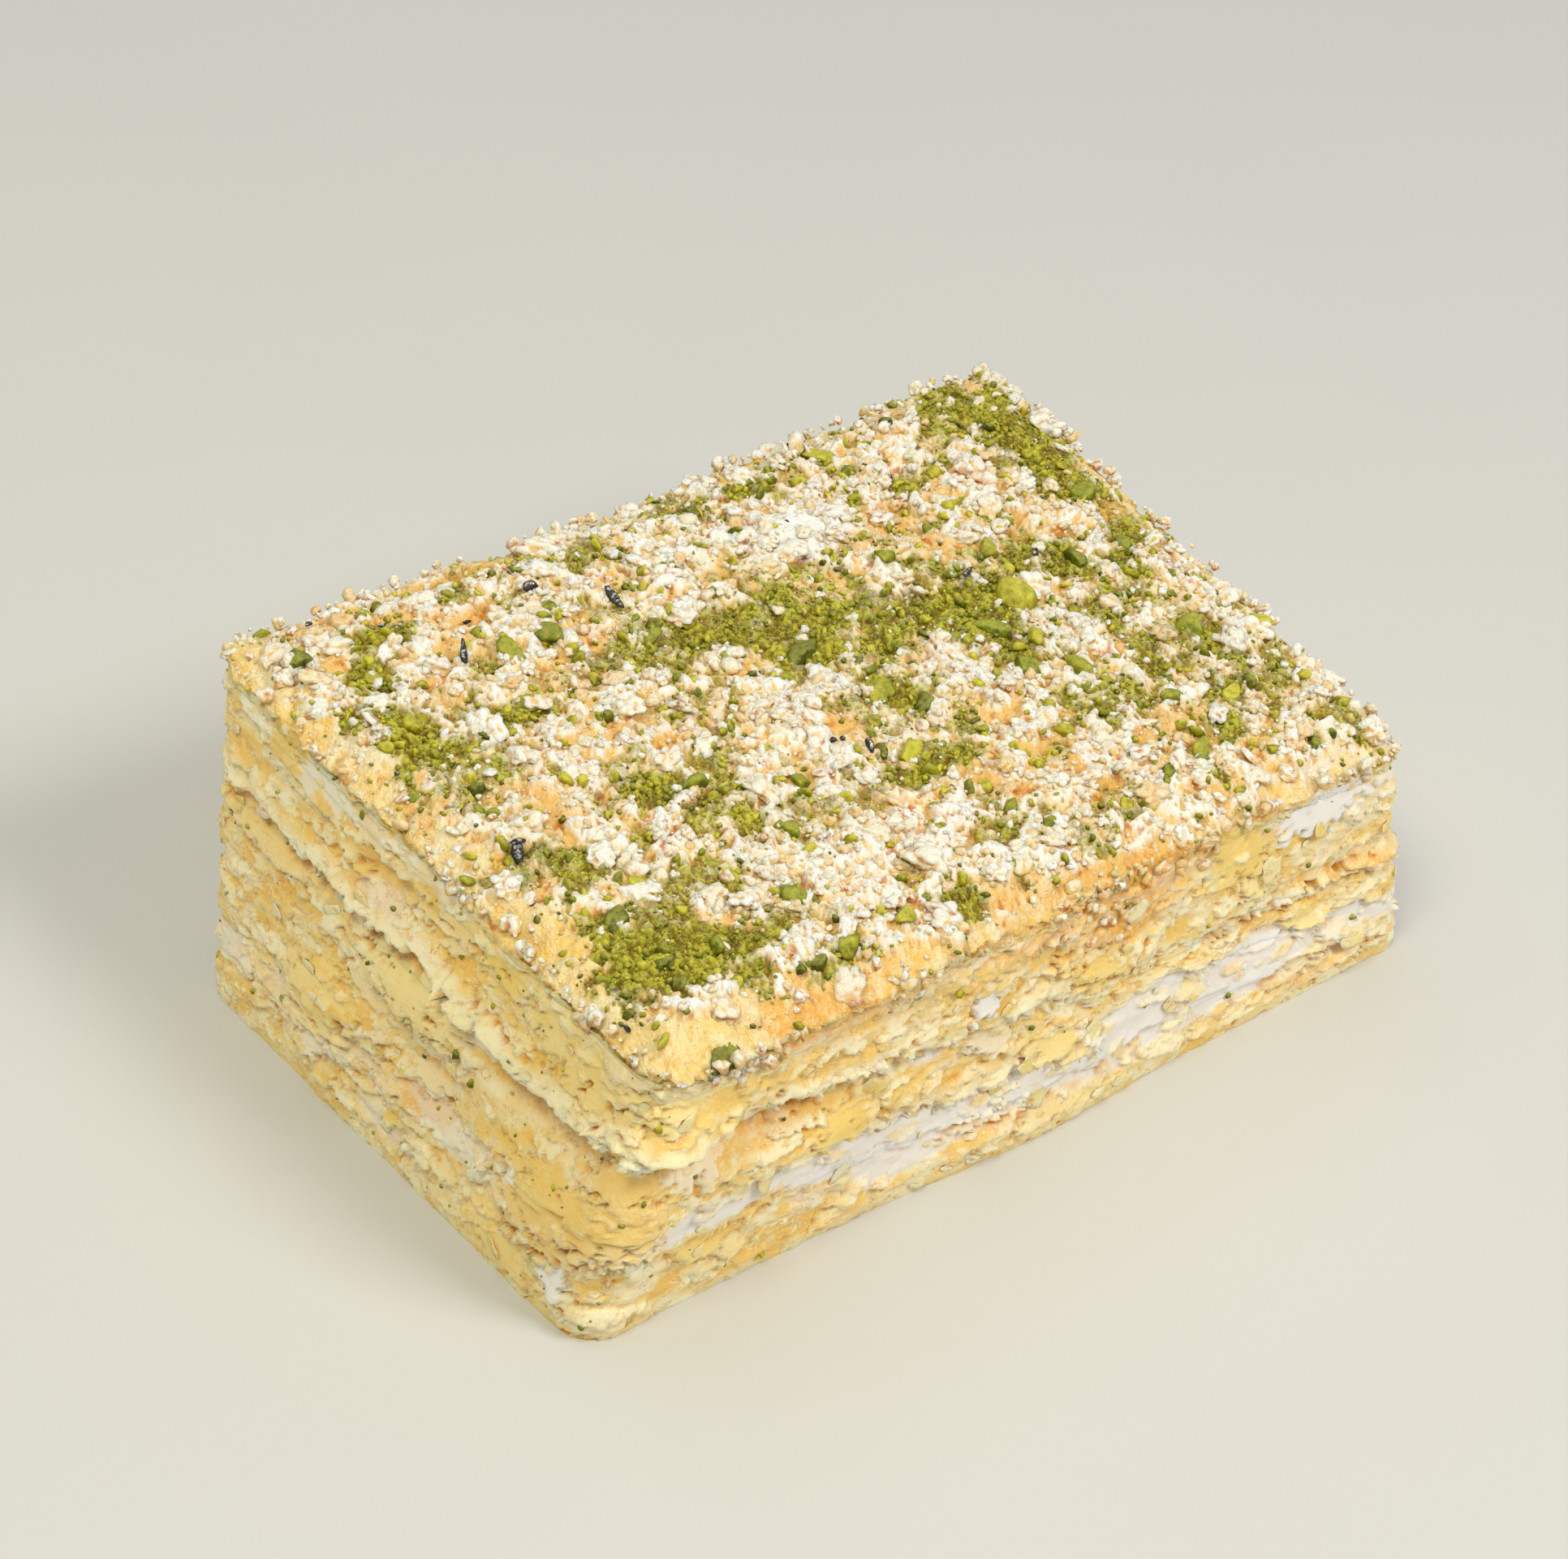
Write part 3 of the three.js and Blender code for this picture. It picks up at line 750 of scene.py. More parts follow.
    def paint(self) -> None:
        """Works out every field of the grid, from the strata up to the last small leaf."""
        form, seed = self.form, self.seed
        columns = int(round(form.girth / self.cell))
        along = (np.arange(columns) + 0.5) * form.girth / columns
        x, y, _, _ = form.outline(along)
        heights = (np.arange(int(self.ceiling / self.cell)) + 0.5) * self.cell
        s, z = np.meshgrid(np.mod(along + form.girth / 2, form.girth), heights)
        lines = [form.level(boundary, x, y) for boundary in Boundary]
        everywhere = (x[None, :], y[None, :], z)
        custard = together(self.custard, *everywhere)
        cream = self.cream_share(s, z, lines, everywhere)
        relief, gap = self.strata(s, z, lines, together(self.streaky, *everywhere))
        smooth = np.clip(cream + 0.8 * custard, 0, 1)
        self.fields = {
            "relief": lerp(relief, 0.3 * fractal(s / 5, z / 2.2, seed + 9) - 0.15, 0.85 * smooth),
            # Creases between the leaves get painted shade, less where cream or custard smooths the side.
            "gap": gap * (1 - smooth),
            "toast": together(self.toasted, *everywhere),
            "cream": cream,
            "custard": np.clip(custard, 0, 1),
            "tint": 0.5 + 0.5 * noise(s / 3.1, z / 1.7, seed + 20),
            "edge": np.zeros_like(z),
            "plain": np.zeros_like(z),
        }
        coarse = jagged(s / 1.5, z / 1.1, seed + 40)
        fine = jagged(s / 0.55, z / 0.5, seed + 44)
        torn = 1.1 * coarse + 0.7 * fine
        for index, kind in enumerate(self.leaf_kinds):
            if index == self.large_kinds:
                self.press_all(self.chosen_plates(), torn)
                self.tear_ledges(s, z, lines, 0.35 + together(self.seams, *everywhere))
            tears = fine if kind is self.leaf_kinds[-1] else torn
            self.press_all(self.scattered(kind, seed + 50 + index), tears)
        self.shade_hollows(s, z)

    def tear_ledges(self, s: Array, z: Array, lines: list[Array], strong: Array) -> None:
        """Cuts the long ragged seams under the ledges into what lies there already, and paints shade below
        each ledge.

        Args:
            s, z: Places of the grid's cells, along and up.
            lines: Height of every boundary along the side.
            strong: How deep the seams are cut, and how dark the painted shade below them is.
        """
        fields = self.fields
        for seed, ledge in enumerate(self.ledges, self.seed + 30):
            teeth = jagged(s / 1.7, 0.2 * z, seed)
            wander = 0.5 * noise(s / 6, 0.0, seed + 3)
            off = z - lines[ledge.boundary.value][None, :] - ledge.ragged * teeth - wander
            push = np.where(off > 0, bell(off / ledge.reach), -0.9 * bell(off / (0.7 * ledge.reach)))
            # Painted shadow in a band below each ledge.
            shade = np.where(off > 0, 0.0, bell((off + 0.15) / 0.4) + 0.55 * bell((off + 0.6) / 1.2))
            fields["relief"] = fields["relief"] + strong * (ledge.rise * push)
            fields["gap"] = np.clip(fields["gap"] + strong * shade, 0, 1)

    def strata(self, s: Array, z: Array, lines: list[Array], streaky: Array) -> Pair:
        """Thin torn leaves seen on edge: how far each stands out, and the creases between them.

        Args:
            s, z: Places of the grid's cells, along and up.
            lines: Height of every boundary along the side.
            streaky: Where the leaves show on edge.

        Returns:
            Relief, and the creases between the leaves, which are painted as shade.
        """
        seed = self.seed
        above = np.zeros_like(z)
        layer = np.zeros_like(z)
        for index, line in enumerate(lines):
            inside = z >= line[None, :]
            above = np.where(inside, z - line[None, :], above)
            layer = np.where(inside, index, layer)
        wander = 0.6 * noise(s / 8, z / 4, seed) + 0.35 * noise(s / 2.6, z / 2, seed + 1)
        level = (above + wander) / self.leaf_pitch
        leaf = np.floor(level) + 20 * layer
        part = level - np.floor(level)
        reach = 0.5 * noise(s / 6 + 13.7 * leaf, leaf + 0.5, seed + 2)
        reach = reach + 0.35 * (2 * cells(s / 2.1 + 7.1 * leaf, leaf + 0.5, seed + 3).own - 1)
        crease = np.clip(1 - np.minimum(part, 1 - part) / 0.2, 0, 1)
        shown = ease(0.1, 0.7, 0.5 * noise(s / 13, z / 6, seed + 4) + streaky)
        broken = ease(-0.2, 0.3, noise(s / 3.0, leaf + 0.5, seed + 5))
        grain = 0.3 * fractal(s / 2.2, z / 1.6, seed + 6) + 0.16 * fractal(s / 0.8, z / 0.7, seed + 7)
        relief = lerp(0.25, 1.0, shown) * reach - 0.55 * crease * shown * broken + grain
        return relief, crease * shown * broken

    def cream_share(self, s: Array, z: Array, lines: list[Array], place: tuple) -> Array:
        """Where cream shows: soft ragged bands at the cream layers, and smears over the pastry.

        Args:
            s, z: Places of the grid's cells, along and up.
            lines: Height of every boundary along the side.
            place: X, Y and Z of the cells.

        Returns:
            Share of cream in the cells, from 0 to 1.
        """
        seed = self.seed + 100
        ragged = 0.9 * noise(s / 4, z / 2, seed) + 0.35 * noise(s / 1.2, z / 0.9, seed + 1)
        bands = (
            (Boundary.BASE_TOP, Boundary.LOWER_CREAM_TOP, 0.75),
            (Boundary.MIDDLE_TOP, Boundary.UPPER_CREAM_TOP, 0.35),
            (Boundary.TOP_PASTRY_TOP, Boundary.COAT_TOP, 0.25),
        )
        share = np.zeros_like(z)
        for low, high, weight in bands:
            depth = np.minimum(z - lines[low.value][None, :], lines[high.value][None, :] - z)
            share = np.maximum(share, weight * ease(-0.5, 0.6, depth + ragged))
        patchy = 0.5 + 0.5 * fractal(s / 5, z / 1.8, seed + 2)
        smear = 0.9 * ease(0.35, 0.85, together(self.creamy, *place) * (0.45 + 0.95 * patchy))
        shown = np.clip(np.maximum(share * ease(0.1, 0.6, patchy + share - 0.3), smear), 0, 1)
        return shown * lerp(0.6, 1.0, ease(-52, -46, place[0]))

    def chosen_plates(self) -> list[Leaf]:
        """The large leaves that have a place of their own.

        Returns:
            One leaf for each plate.
        """
        leaves = []
        for index, plate in enumerate(self.plates):
            along = float(self.form.along_of(np.array(plate.x), np.array(plate.y)))
            turn = math.radians(plate.turn)
            tint = float(seeded(index, 0, self.seed)[0])
            half, across = self.plate_share * plate.along, self.plate_share * plate.up
            lift = plate.rise + 0.2
            leaf = Leaf(along, plate.z, half, across, turn, lift, (0.0, 0.0), 0.75, 0.95, tint, plate.tone)
            leaves.append(leaf)
        return leaves

    def scattered(self, kind: LeafKind, seed: int) -> list[Leaf]:
        """Leaves of one kind at random places round the sides, fewer where cream shows.

        Args:
            kind: The kind of leaf.
            seed: Which random pattern.

        Returns:
            The leaves, the lowest first.
        """
        draw = np.random.default_rng(seed)
        rows, columns = self.fields["cream"].shape
        leaves = []
        for _ in range(kind.count):
            along = draw.uniform(0, self.form.girth)
            z = draw.uniform(0, self.ceiling - 2)
            half = draw.uniform(kind.smallest, kind.largest)
            across = half * kind.slimness * draw.uniform(0.75, 1.25)
            tilt = draw.normal(0, 0.5 * kind.tilt, 2)
            lift = kind.thickness * draw.uniform(0.6, 1.4)
            turn, tint, luck = draw.normal(0, 0.32), draw.uniform(), draw.uniform()
            cell = min(int(z / self.cell), rows - 1), int(along / self.form.girth * columns) % columns
            kept = max(self.fields["cream"][cell], float(self.fields["plain"][cell] > 0.9))
            if luck > self.cream_keeps * kept:
                pose = (along, z, half, across, turn, lift, tuple(tilt))
                leaves.append(Leaf(*pose, kind.tear, kind.calm, tint))
        return leaves

    def press_all(self, leaves: list[Leaf], torn: Array) -> None:
        """Presses leaves on the relief in turn, each over what lies there already.

        Args:
            leaves: The leaves, the lowest first.
            torn: Unevenness of their outlines in the cells.
        """
        fields = self.fields
        rows_all, columns = torn.shape
        step = self.form.girth / columns
        ground = blurred(fields["relief"], 4, wrap=True)
        for leaf in leaves:
            reach = int(leaf.half * 1.4 / self.cell) + 2
            first = int(leaf.along / step)
            bottom = int(leaf.z / self.cell)
            cols = np.arange(first - reach, first + reach + 1)
            rows = np.arange(max(bottom - reach, 0), min(bottom + reach + 1, rows_all))
            ds = (cols[None, :] + 0.5) * step - leaf.along
            dz = (rows[:, None] + 0.5) * self.cell - leaf.z
            patch = np.ix_(rows, cols % columns)
            p = (ds * math.cos(leaf.turn) + dz * math.sin(leaf.turn)) / leaf.half
            q = (dz * math.cos(leaf.turn) - ds * math.sin(leaf.turn)) / leaf.across
            inside = 1 - np.hypot(p, q) + leaf.tear * torn[patch]
            under = ground[patch]
            slope = leaf.lift * (0.55 - 0.5 * np.clip(q, -1.2, 1.2)) + leaf.tilt[0] * ds + leaf.tilt[1] * dz
            plane = lerp(under, np.mean(under), leaf.calm) + slope
            over = (inside > 0) & (plane > fields["relief"][patch] - 0.15 * leaf.calm)
            # Pale rim along each leaf's lower edge: a painted highlight.
            rim = np.clip(1 - inside * leaf.across / 0.35, 0, 1) * ease(0.5, -0.3, q)
            laid = {"relief": plane - 0.08 * rim, "gap": 0.0, "tint": leaf.tint, "edge": rim}
            laid["plain"] = leaf.calm
            if leaf.tone:
                laid.update(zip(("toast", "custard", "cream"), leaf.tone.value))
            else:
                laid["cream"] = 0.25 * fields["cream"][patch]
            for name, value in laid.items():
                fields[name][patch] = np.where(over, value, fields[name][patch])

    def shade_hollows(self, s: Array, z: Array) -> None:
        """Adds fine grain, paints shade where the relief lies deeper than its surroundings, and paints
        highlight on broad rises.

        Args:
            s, z: Places of the grid's cells, along and up.
        """
        fields = self.fields
        rough = fractal(s / 0.7, z / 0.6, self.seed + 60)
        calm = np.clip(fields["cream"] + fields["custard"], 0, 1)
        fields["relief"] = fields["relief"] + lerp(0.09, 0.03, calm) * rough
        wide = blurred(blurred(fields["relief"], 4, True), 4, True) - fields["relief"]
        tight = blurred(fields["relief"], 2, True) - fields["relief"]
        broad = blurred(blurred(fields["relief"], 9, True), 9, True) - fields["relief"]
        # Painted shade and highlight: the tint turns towards toasted in broad hollows and paler on broad
        # rises.
        broad_shade_and_highlight = 0.55 * (ease(0.0, 0.8, broad) - ease(0.0, 0.8, -broad))
        fields["tint"] = np.clip(fields["tint"] + broad_shade_and_highlight, 0, 1)
        # Painted shade in hollows, darker the deeper they lie below their surroundings.
        hollow_shade = 0.8 * ease(0.2, 0.95, wide) + 0.36 * ease(0.07, 0.32, tight)
        hollow_shade = hollow_shade + 0.25 * ease(0.3, 1.1, broad)
        fields["gap"] = np.clip(0.8 * fields["gap"] + hollow_shade, 0, 1)
        foot = ease(0.0, 3.0, z)
        fields["relief"] = lerp(np.minimum(0.3 * fields["relief"], 0.3), fields["relief"], foot)

    def sample(self, name: str, along: Array, z: Array) -> Array:
        """Value of a field at points of the side, blended between the grid's cells.

        Args:
            name: The field.
            along, z: Points of the side.

        Returns:
            One value for each point.
        """
        grid = self.fields[name]
        rows, columns = grid.shape
        column = np.mod(along / self.form.girth * columns - 0.5, columns)
        return blended(grid, column, np.clip(z / self.cell - 0.5, 0, rows - 1.001))

    def surface(self, x: Array, y: Array, out: tuple, along: Array, z: Array, lift: Array = 0.0) -> Array:
        """Real places of side points, with their relief, the large hollows and lips, and a lift.

        Args:
            x, y: Points of the outline.
            out: Their outward directions.
            along: Their distances along the outline.
            z: Their heights.
            lift: How far off the side they lie.

        Returns:
            Their places, one row each.
        """
        reach = self.sample("relief", along, z) + together(self.form.features, x, y, z) + lift
        real_x, real_y = self.form.lean(x, y, z)
        return np.stack([real_x + out[0] * reach, real_y + out[1] * reach, z], axis=-1)

    def masks(self, x: Array, y: Array, z: Array, along: Array) -> Fields:
        """The side's masks at points of it, with painted shade in its large hollows."""
        painted = {name: self.sample(name, along, z) for name in SIDE_MASKS[:-1]}
        return painted | {"recess": ease(0.6, 2.6, -together(self.form.features, x, y, z))}

    def places(self, along: Array, z: Array, lift: Array = 0.0) -> Array:
        """Real places at distances along the outline and heights, lifted off the side."""
        x, y, *out = self.form.outline(along)
        return self.surface(x, y, out, along, z, lift)


LAYERS = ("pastry_base", "cream_lower", "pastry_middle", "cream_upper", "pastry_top", "cream_coat")


@dataclass
class CutLayers:
    """The six layers under the crust, as rings of points round the slice."""

    form: SliceForm
    skin: SideSkin
    materials: Materials
    shown_pitch: float = 0.3
    other_pitch: float = 0.75
    row_pitch: float = 0.31
    inner_inset: float = 5.5
    inner_stride: int = 5
    inner_spread: float = 0.12

    def columns(self) -> Array:
        """Distances along the outline of the upright columns, closest on the two shown sides.

        Returns:
            The distances in order.
        """
        shown = (True, True, False, False, False, True, True, True)
        pieces = []
        for start, span, fine in zip(self.form.starts, self.form.spans, shown):
            count = int(math.ceil(span / (self.shown_pitch if fine else self.other_pitch)))
            pieces.append(start + span * np.arange(count) / count)
        return np.concatenate(pieces)

    def layer(self, name: str, low: Boundary, high: Boundary, material: Material) -> Piece:
        """One layer between two boundaries, closed above and below.

        Args:
            name: The piece's name.
            low: The boundary that it lies on.
            high: The boundary that lies on it.
            material: Its finish.

        Returns:
            The layer's object.
        """
        form = self.form
        along = self.columns()
        x, y, out_x, out_y = form.outline(along)
        foot, top = form.level(low, x, y), form.level(high, x, y)
        rows = max(2, int(math.ceil(float((top - foot).max()) / self.row_pitch)))
        share = np.linspace(0, 1, rows + 1)[:, None]
        z = lerp(foot[None, :], top[None, :], share)
        along = np.broadcast_to(along, z.shape)
        x, y = np.broadcast_to(x, z.shape), np.broadcast_to(y, z.shape)
        build = Build()
        places = self.skin.surface(x, y, (out_x, out_y), along, z)
        grid = build.add(places, self.skin.masks(x, y, z, along)).reshape(z.shape)
        build.quads(grid, closed=True)
        for row, boundary, down in ((grid[0], low, True), (grid[-1], high, False)):
            self.close(build, row, (x[0], y[0]), boundary, down)
        rim = np.zeros(build.count, dtype=bool)
        rim[grid[0]] = rim[grid[-1]] = True
        return build.finished(name, material, rim)

    def build(self) -> list[Piece]:
        """Makes and dresses all the layers.

        Returns:
            The layers, from the foot up.
        """
        made = []
        for node, low, high in zip(LAYERS, Boundary, tuple(Boundary)[1:]):
            slot = node.split("_")[0]
            layer = self.layer(node + "_cut", low, high, self.materials[slot])
            made.append(dressed(layer, slot, node))
        return made

    def close(self, build: Build, ring: Array, place: tuple, boundary: Boundary, down: bool) -> None:
        """Hidden face of a layer at one of its boundaries, straight in from its rim and then flat.

        Args:
            build: The mesh that it closes.
            ring: The rim's vertices.
            place: Nominal X and Y of the rim.
            boundary: The boundary that the face lies on.
            down: Whether it faces down.
        """
        form = self.form
        half = (form.length / 2 - self.inner_inset, form.width / 2 - self.inner_inset)
        some = [line[self.inner_stride // 2 :: self.inner_stride] for line in place]
        drawn = (lerp(np.clip(line, -h, h), line, self.inner_spread) for line, h in zip(some, half))
        x, y = (np.append(line, 0.0) for line in drawn)
        z = form.level(boundary, x, y)
        real_x, real_y = form.lean(x, y, z)
        empty = dict.fromkeys(build.masks[0], 0.0)
        inner = build.add(np.stack([real_x, real_y, z], axis=1), empty)
        build.cap(ring, inner[:-1], int(inner[-1]), down)


@dataclass(frozen=True)
class Patch:
    """A soft-edged oval on top of the crust: its place, its reaches, its turn and its strength."""

    x: float
    y: float
    reach_x: float
    reach_y: float
    strength: float = 1.0
    turn: float = 0.0

    def at(self, x: Array, y: Array) -> Array:
        """Strength of the patch at plan points.

        Args:
            x, y: Nominal plan points.

        Returns:
            One value for each point.
        """
        angle = math.radians(self.turn)
        dx, dy = x - self.x, y - self.y
        p = (dx * math.cos(angle) + dy * math.sin(angle)) / self.reach_x
        q = (dy * math.cos(angle) - dx * math.sin(angle)) / self.reach_y
        return self.strength * bell(np.hypot(p, q))


NUT_PATCHES = each(
    Patch,
    (-50, -20, 7.5, 7.5, 1.1), (-42, -24.5, 7, 3.2, 0.9), (-49, 12.5, 6, 7, 0.9), (-44.6, 22.7, 2.6, 2.6),
    (3, 8.5, 9.5, 6.5, 1.1), (21.5, 1, 7.5, 8.5, 1.15), (-34, 10.5, 5.5, 3), (-11.5, 11.5, 8, 3.2),
    (46.7, 26.5, 7, 5, 1.1), (48.8, 15, 4.5, 9, 1), (48.8, 3, 3, 3), (38.4, 2.8, 4.5, 3, 0.9),
    (41.5, -3.8, 5.5, 2.2, 0.8), (35.3, -10.9, 3, 6, 0.9), (-1, -15, 8, 2.3, 0.9), (-31, -5.2, 4, 2.6),
    (-24.4, -10.9, 3, 2.8), (-10.9, -30.2, 3, 2.4), (22.8, -15, 5.5, 3.2, 0.9), (41.5, -19.8, 4.2, 3, 0.8),
    (24, 28.3, 2.2, 2), (3, 29.3, 5, 1.8, 0.9), (14.5, 28.3, 5.5, 2, 0.9), (-13.5, 26.9, 2.6, 2.6, 0.9),
    (-39.4, 26.4, 5.5, 2.2, 0.9), (52, -12.3, 2.8, 6.5, 0.8), (-33, -24, 5, 1.8, 0.8),
    (-44, -8.5, 4, 2, 0.7), (4.5, -4.5, 3, 3, 0.8), (8, 1.5, 2.5, 2.2, 0.7),
)
SUGAR_PATCHES = each(
    Patch,
    (12, 20.3, 9, 5.5, 1.5), (31.5, -8, 1.7, 9, 1.3, 2), (14.5, -3.8, 4, 3.4, 1.2),
    (-2, -0.5, 3.6, 2.6, 1), (17, 10, 2.2, 4, 1), (-20, -20, 14, 5, 0.7), (0, -22, 20, 6, 0.5),
    (-38, -1, 8, 4, 0.6), (34, 24, 10, 5, 0.6), (40, -9, 4, 4, 0.6), (19.5, -9.5, 3, 2.2, 0.9),
    (-10, 20, 6, 6, 0.5),
)
GOLD_PATCHES = each(
    Patch,
    (-5, -6, 4.5, 2.2, 1), (-24, 0, 3.4, 1.6, 1), (24.5, 17, 4.5, 3.2, 0.9), (26, 28.5, 4, 1.5, 0.8),
    (49, 8, 3.4, 2.6, 1.2), (31, -24.5, 5, 3, 0.9), (-29, 12.5, 2.6, 1.8, 0.8), (-52, -4.5, 3, 4, 0.9),
    (-18.5, 19.5, 3, 1.6, 0.9), (-29, 24.5, 6, 2, 0.8), (38, 9.5, 5, 2.5, 0.7), (14, -25, 7, 3, 0.7),
    (36, -17, 5, 2, 0.7), (-30, 31.5, 20, 1.6, 0.8), (-30, -33, 9, 1.6, 0.9), (8, -33, 18, 1.6, 0.8),
)


def strewn(patches: tuple[Patch, ...], x: Array, y: Array) -> Array:
    """Sum of soft-edged ovals at plan points."""
    return sum(patch.at(x, y) for patch in patches)


@dataclass
class CrumbCrust:
    """The crust's bed: packed crumbs and ground nuts as one rough sheet with a torn edge."""

    form: SliceForm
    skin: SideSkin
    materials: Materials
    cells_along: int = 292
    cells_across: int = 180
    skirt_rows: int = 14
    rim_fade: float = 4.0
    lump_sizes: tuple = (3.0, 1.5, 0.8)
    lump_rises: tuple = (1.3, 0.8, 0.42)
    seed: int = 900
    fields: Fields = field(default_factory=dict)

    def grid(self) -> Pair:
        """Nominal plan points of the bed's grid.

        Returns:
            X and Y of the points.
        """
        half_x, half_y = self.form.length / 2, self.form.width / 2
        x_line = np.linspace(-half_x, half_x, self.cells_along + 1)
        y_line = np.linspace(-half_y, half_y, self.cells_across + 1)
        return tuple(np.meshgrid(x_line, y_line))

    def paint(self) -> None:
        """Works out the bed's relief and masks over a regular grid of nominal plan points."""
        seed = self.seed
        x, y = self.grid()
        torn = jagged(x / 1.5, y / 1.5, seed + 2)
        ragged = 0.3 * fractal(x / 4.2, y / 3.6, seed, 2) + 0.34 * torn
        nut = ease(0.2, 0.75, strewn(NUT_PATCHES, x, y) + 1.7 * ragged)
        stray = ease(0.1, 0.45, fractal(x / 5.0, y / 4.2, seed + 4) + 0.5 * ragged)
        nut = np.maximum(nut, lerp(0.6, 1.0, ease(-5, 35, x)) * stray)
        sugar = ease(0.4, 0.8, strewn(SUGAR_PATCHES, x, y) + ragged)
        gold = ease(0.4, 0.8, strewn(GOLD_PATCHES, x, y) + ragged)
        hill = fractal(x / 3.6, y / 3.1, seed + 80) + 0.5 * ragged
        valley = ease(0.08, -0.3, hill) * (1 - sugar)
        olive = ease(-0.1, 0.4, noise(x / 7, y / 6, seed + 84))
        nut = np.maximum(nut, 0.85 * valley * olive) * (1 - 0.9 * sugar) * (1 - 0.6 * gold)
        gold = np.maximum(gold, 0.75 * valley * (1 - nut))
        bent_x = x + 0.9 * noise(x / 2.4, y / 2.4, seed + 10)
        bent_y = y + 0.9 * noise(x / 2.4, y / 2.4, seed + 11)
        height, cracks = np.zeros_like(x), np.zeros_like(x)
        weights = (1 - 0.6 * nut - 0.4 * gold, 1.0, 1 + 0.6 * nut)
        for index, (size, rise) in enumerate(zip(self.lump_sizes, self.lump_rises)):
            body, crack = lumpy(bent_x / size, bent_y / size, seed + 20 + 5 * index)
            height = height + weights[index] * rise * (body - 0.45)
            cracks = np.maximum(cracks, crack * (0.9 - 0.25 * index))
        flat = 0.8 * ease(0.9, 1.3, SUGAR_PATCHES[0].at(x, y) + ragged)
        height = lerp(height, 0.9 + 0.3 * fractal(x / 2, y / 2, seed + 30), flat)
        height = height - 0.4 * nut - 0.6 * gold - 0.1 + 0.12 * fractal(x / 0.7, y / 0.7, seed + 40)
        room = self.form.room(x, y)
        height = height * ease(-1.2, 1.4, room)
        along, level = self.form.along_of(x, y), self.form.crust(x, y)
        bare = self.bare_margin(x, y, along)
        leafy = 1.1 * self.skin.sample("relief", along, level - room) + 0.3 * height - 0.3
        height = lerp(height, leafy, bare * ease(0.2, 1.5, room))
        height = height - 1.1 * bare * np.clip(1 - room / 3.2, 0, 1) ** 2
        wide = blurred(blurred(height, 3, False), 3, False) - height
        tight = blurred(height, 1, False) - height
        raised = ease(-0.35, 0.25, -wide)
        # Painted shade in the bed's hollows and in the cracks between lumps.
        gap = ease(0.05, 0.5, wide) + ease(0.03, 0.2, tight) + 0.5 * cracks
        self.fields = {
            "relief": height,
            "gap": np.clip(gap * (1 - 0.9 * flat), 0, 1),
            "nut": nut,
            "sugar": np.clip(np.maximum(raised * (1 - gold) ** 2, sugar), 0, 1) * (1 - nut),
            "toast": np.clip(0.8 * gold + 0.35 * fractal(x / 5, y / 5, seed + 50), 0, 1),
            "sparse": np.maximum(valley, gold),
            "bare": bare,
            "tint": 0.5 + 0.5 * noise(x / 1.3, y / 1.3, seed + 60),
        }

    def bare_margin(self, x: Array, y: Array, along: Array) -> Array:
        """Where the pastry is bare of crumbs: a ragged rim, wide on the left and at the near corner.

        Args:
            x, y: Nominal plan points.
            along: Their distances along the outline.

        Returns:
            Share of bare pastry, from 0 to 1.
        """
        seed = self.seed + 70
        torn = 1.6 * jagged(x / 1.9, y / 1.9, seed)
        ragged = torn + 1.2 * noise(along / 7, 0.0, seed + 3)
        rim = ease(1.5, 0.3, self.form.room(x, y) + ragged)
        finer = 1.4 * jagged(x / 0.9, y / 0.9, seed + 1)
        ragged = ragged + finer + 1.6 * noise(x / 3.4, y / 3.4, seed + 2)
        left = x + self.form.length / 2 - 2.6 - 1.8 * noise(y / 8, 0.0, seed + 4)
        front = y + self.form.width / 2 - 3.6 * ease(-16, -50, x) - 1.2
        return np.maximum(rim, ease(0.9, -1.1, np.minimum(left, front) + 1.3 * ragged))

    def sample(self, name: str, x: Array, y: Array) -> Array:
        """Value of a field at nominal plan points, blended between the grid's nodes.

        Args:
            name: The field.
            x, y: Nominal plan points.

        Returns:
            One value for each point.
        """
        column = np.clip((x / self.form.length + 0.5) * self.cells_along, 0, self.cells_along - 0.001)
        row = np.clip((y / self.form.width + 0.5) * self.cells_across, 0, self.cells_across - 0.001)
        return blended(self.fields[name], column, row)

    def surface(self, x: Array, y: Array, rise: Array = 0.0) -> Array:
        """Real places of the bed's surface at nominal plan points.

        Args:
            x, y: Nominal plan points.
            rise: How far above the bed they lie.

        Returns:
            Their places, one row each.
        """
        form = self.form
        level = form.crust(x, y)
        along = form.along_of(x, y)
        fade = np.clip(1 - form.room(x, y) / self.rim_fade, 0, 1) ** 2
        edge_x, edge_y, out_x, out_y = form.outline(along)
        push = self.skin.sample("relief", along, level)
        push = (push + together(form.features, edge_x, edge_y, level)) * fade
        real_x, real_y = form.lean(x, y, level)
        z = level + self.sample("relief", x, y) + rise
        return np.stack([real_x + out_x * push, real_y + out_y * push, z], axis=-1)

    def rounded(self, x: Array, y: Array) -> Pair:
        """Grid points with the plan's four corners drawn in to their arcs.

        Args:
            x, y: Nominal plan points.

        Returns:
            Their X and Y.
        """
        form = self.form
        radius = form.corner_radius
        half_x, half_y = form.core
        a = np.clip(np.abs(x) - half_x, 0, None) / radius
        b = np.clip(np.abs(y) - half_y, 0, None) / radius
        corner = (a > 0) & (b > 0)
        new_x = np.sign(x) * (half_x + radius * a * np.sqrt(1 - b * b / 2))
        new_y = np.sign(y) * (half_y + radius * b * np.sqrt(1 - a * a / 2))
        return np.where(corner, new_x, x), np.where(corner, new_y, y)

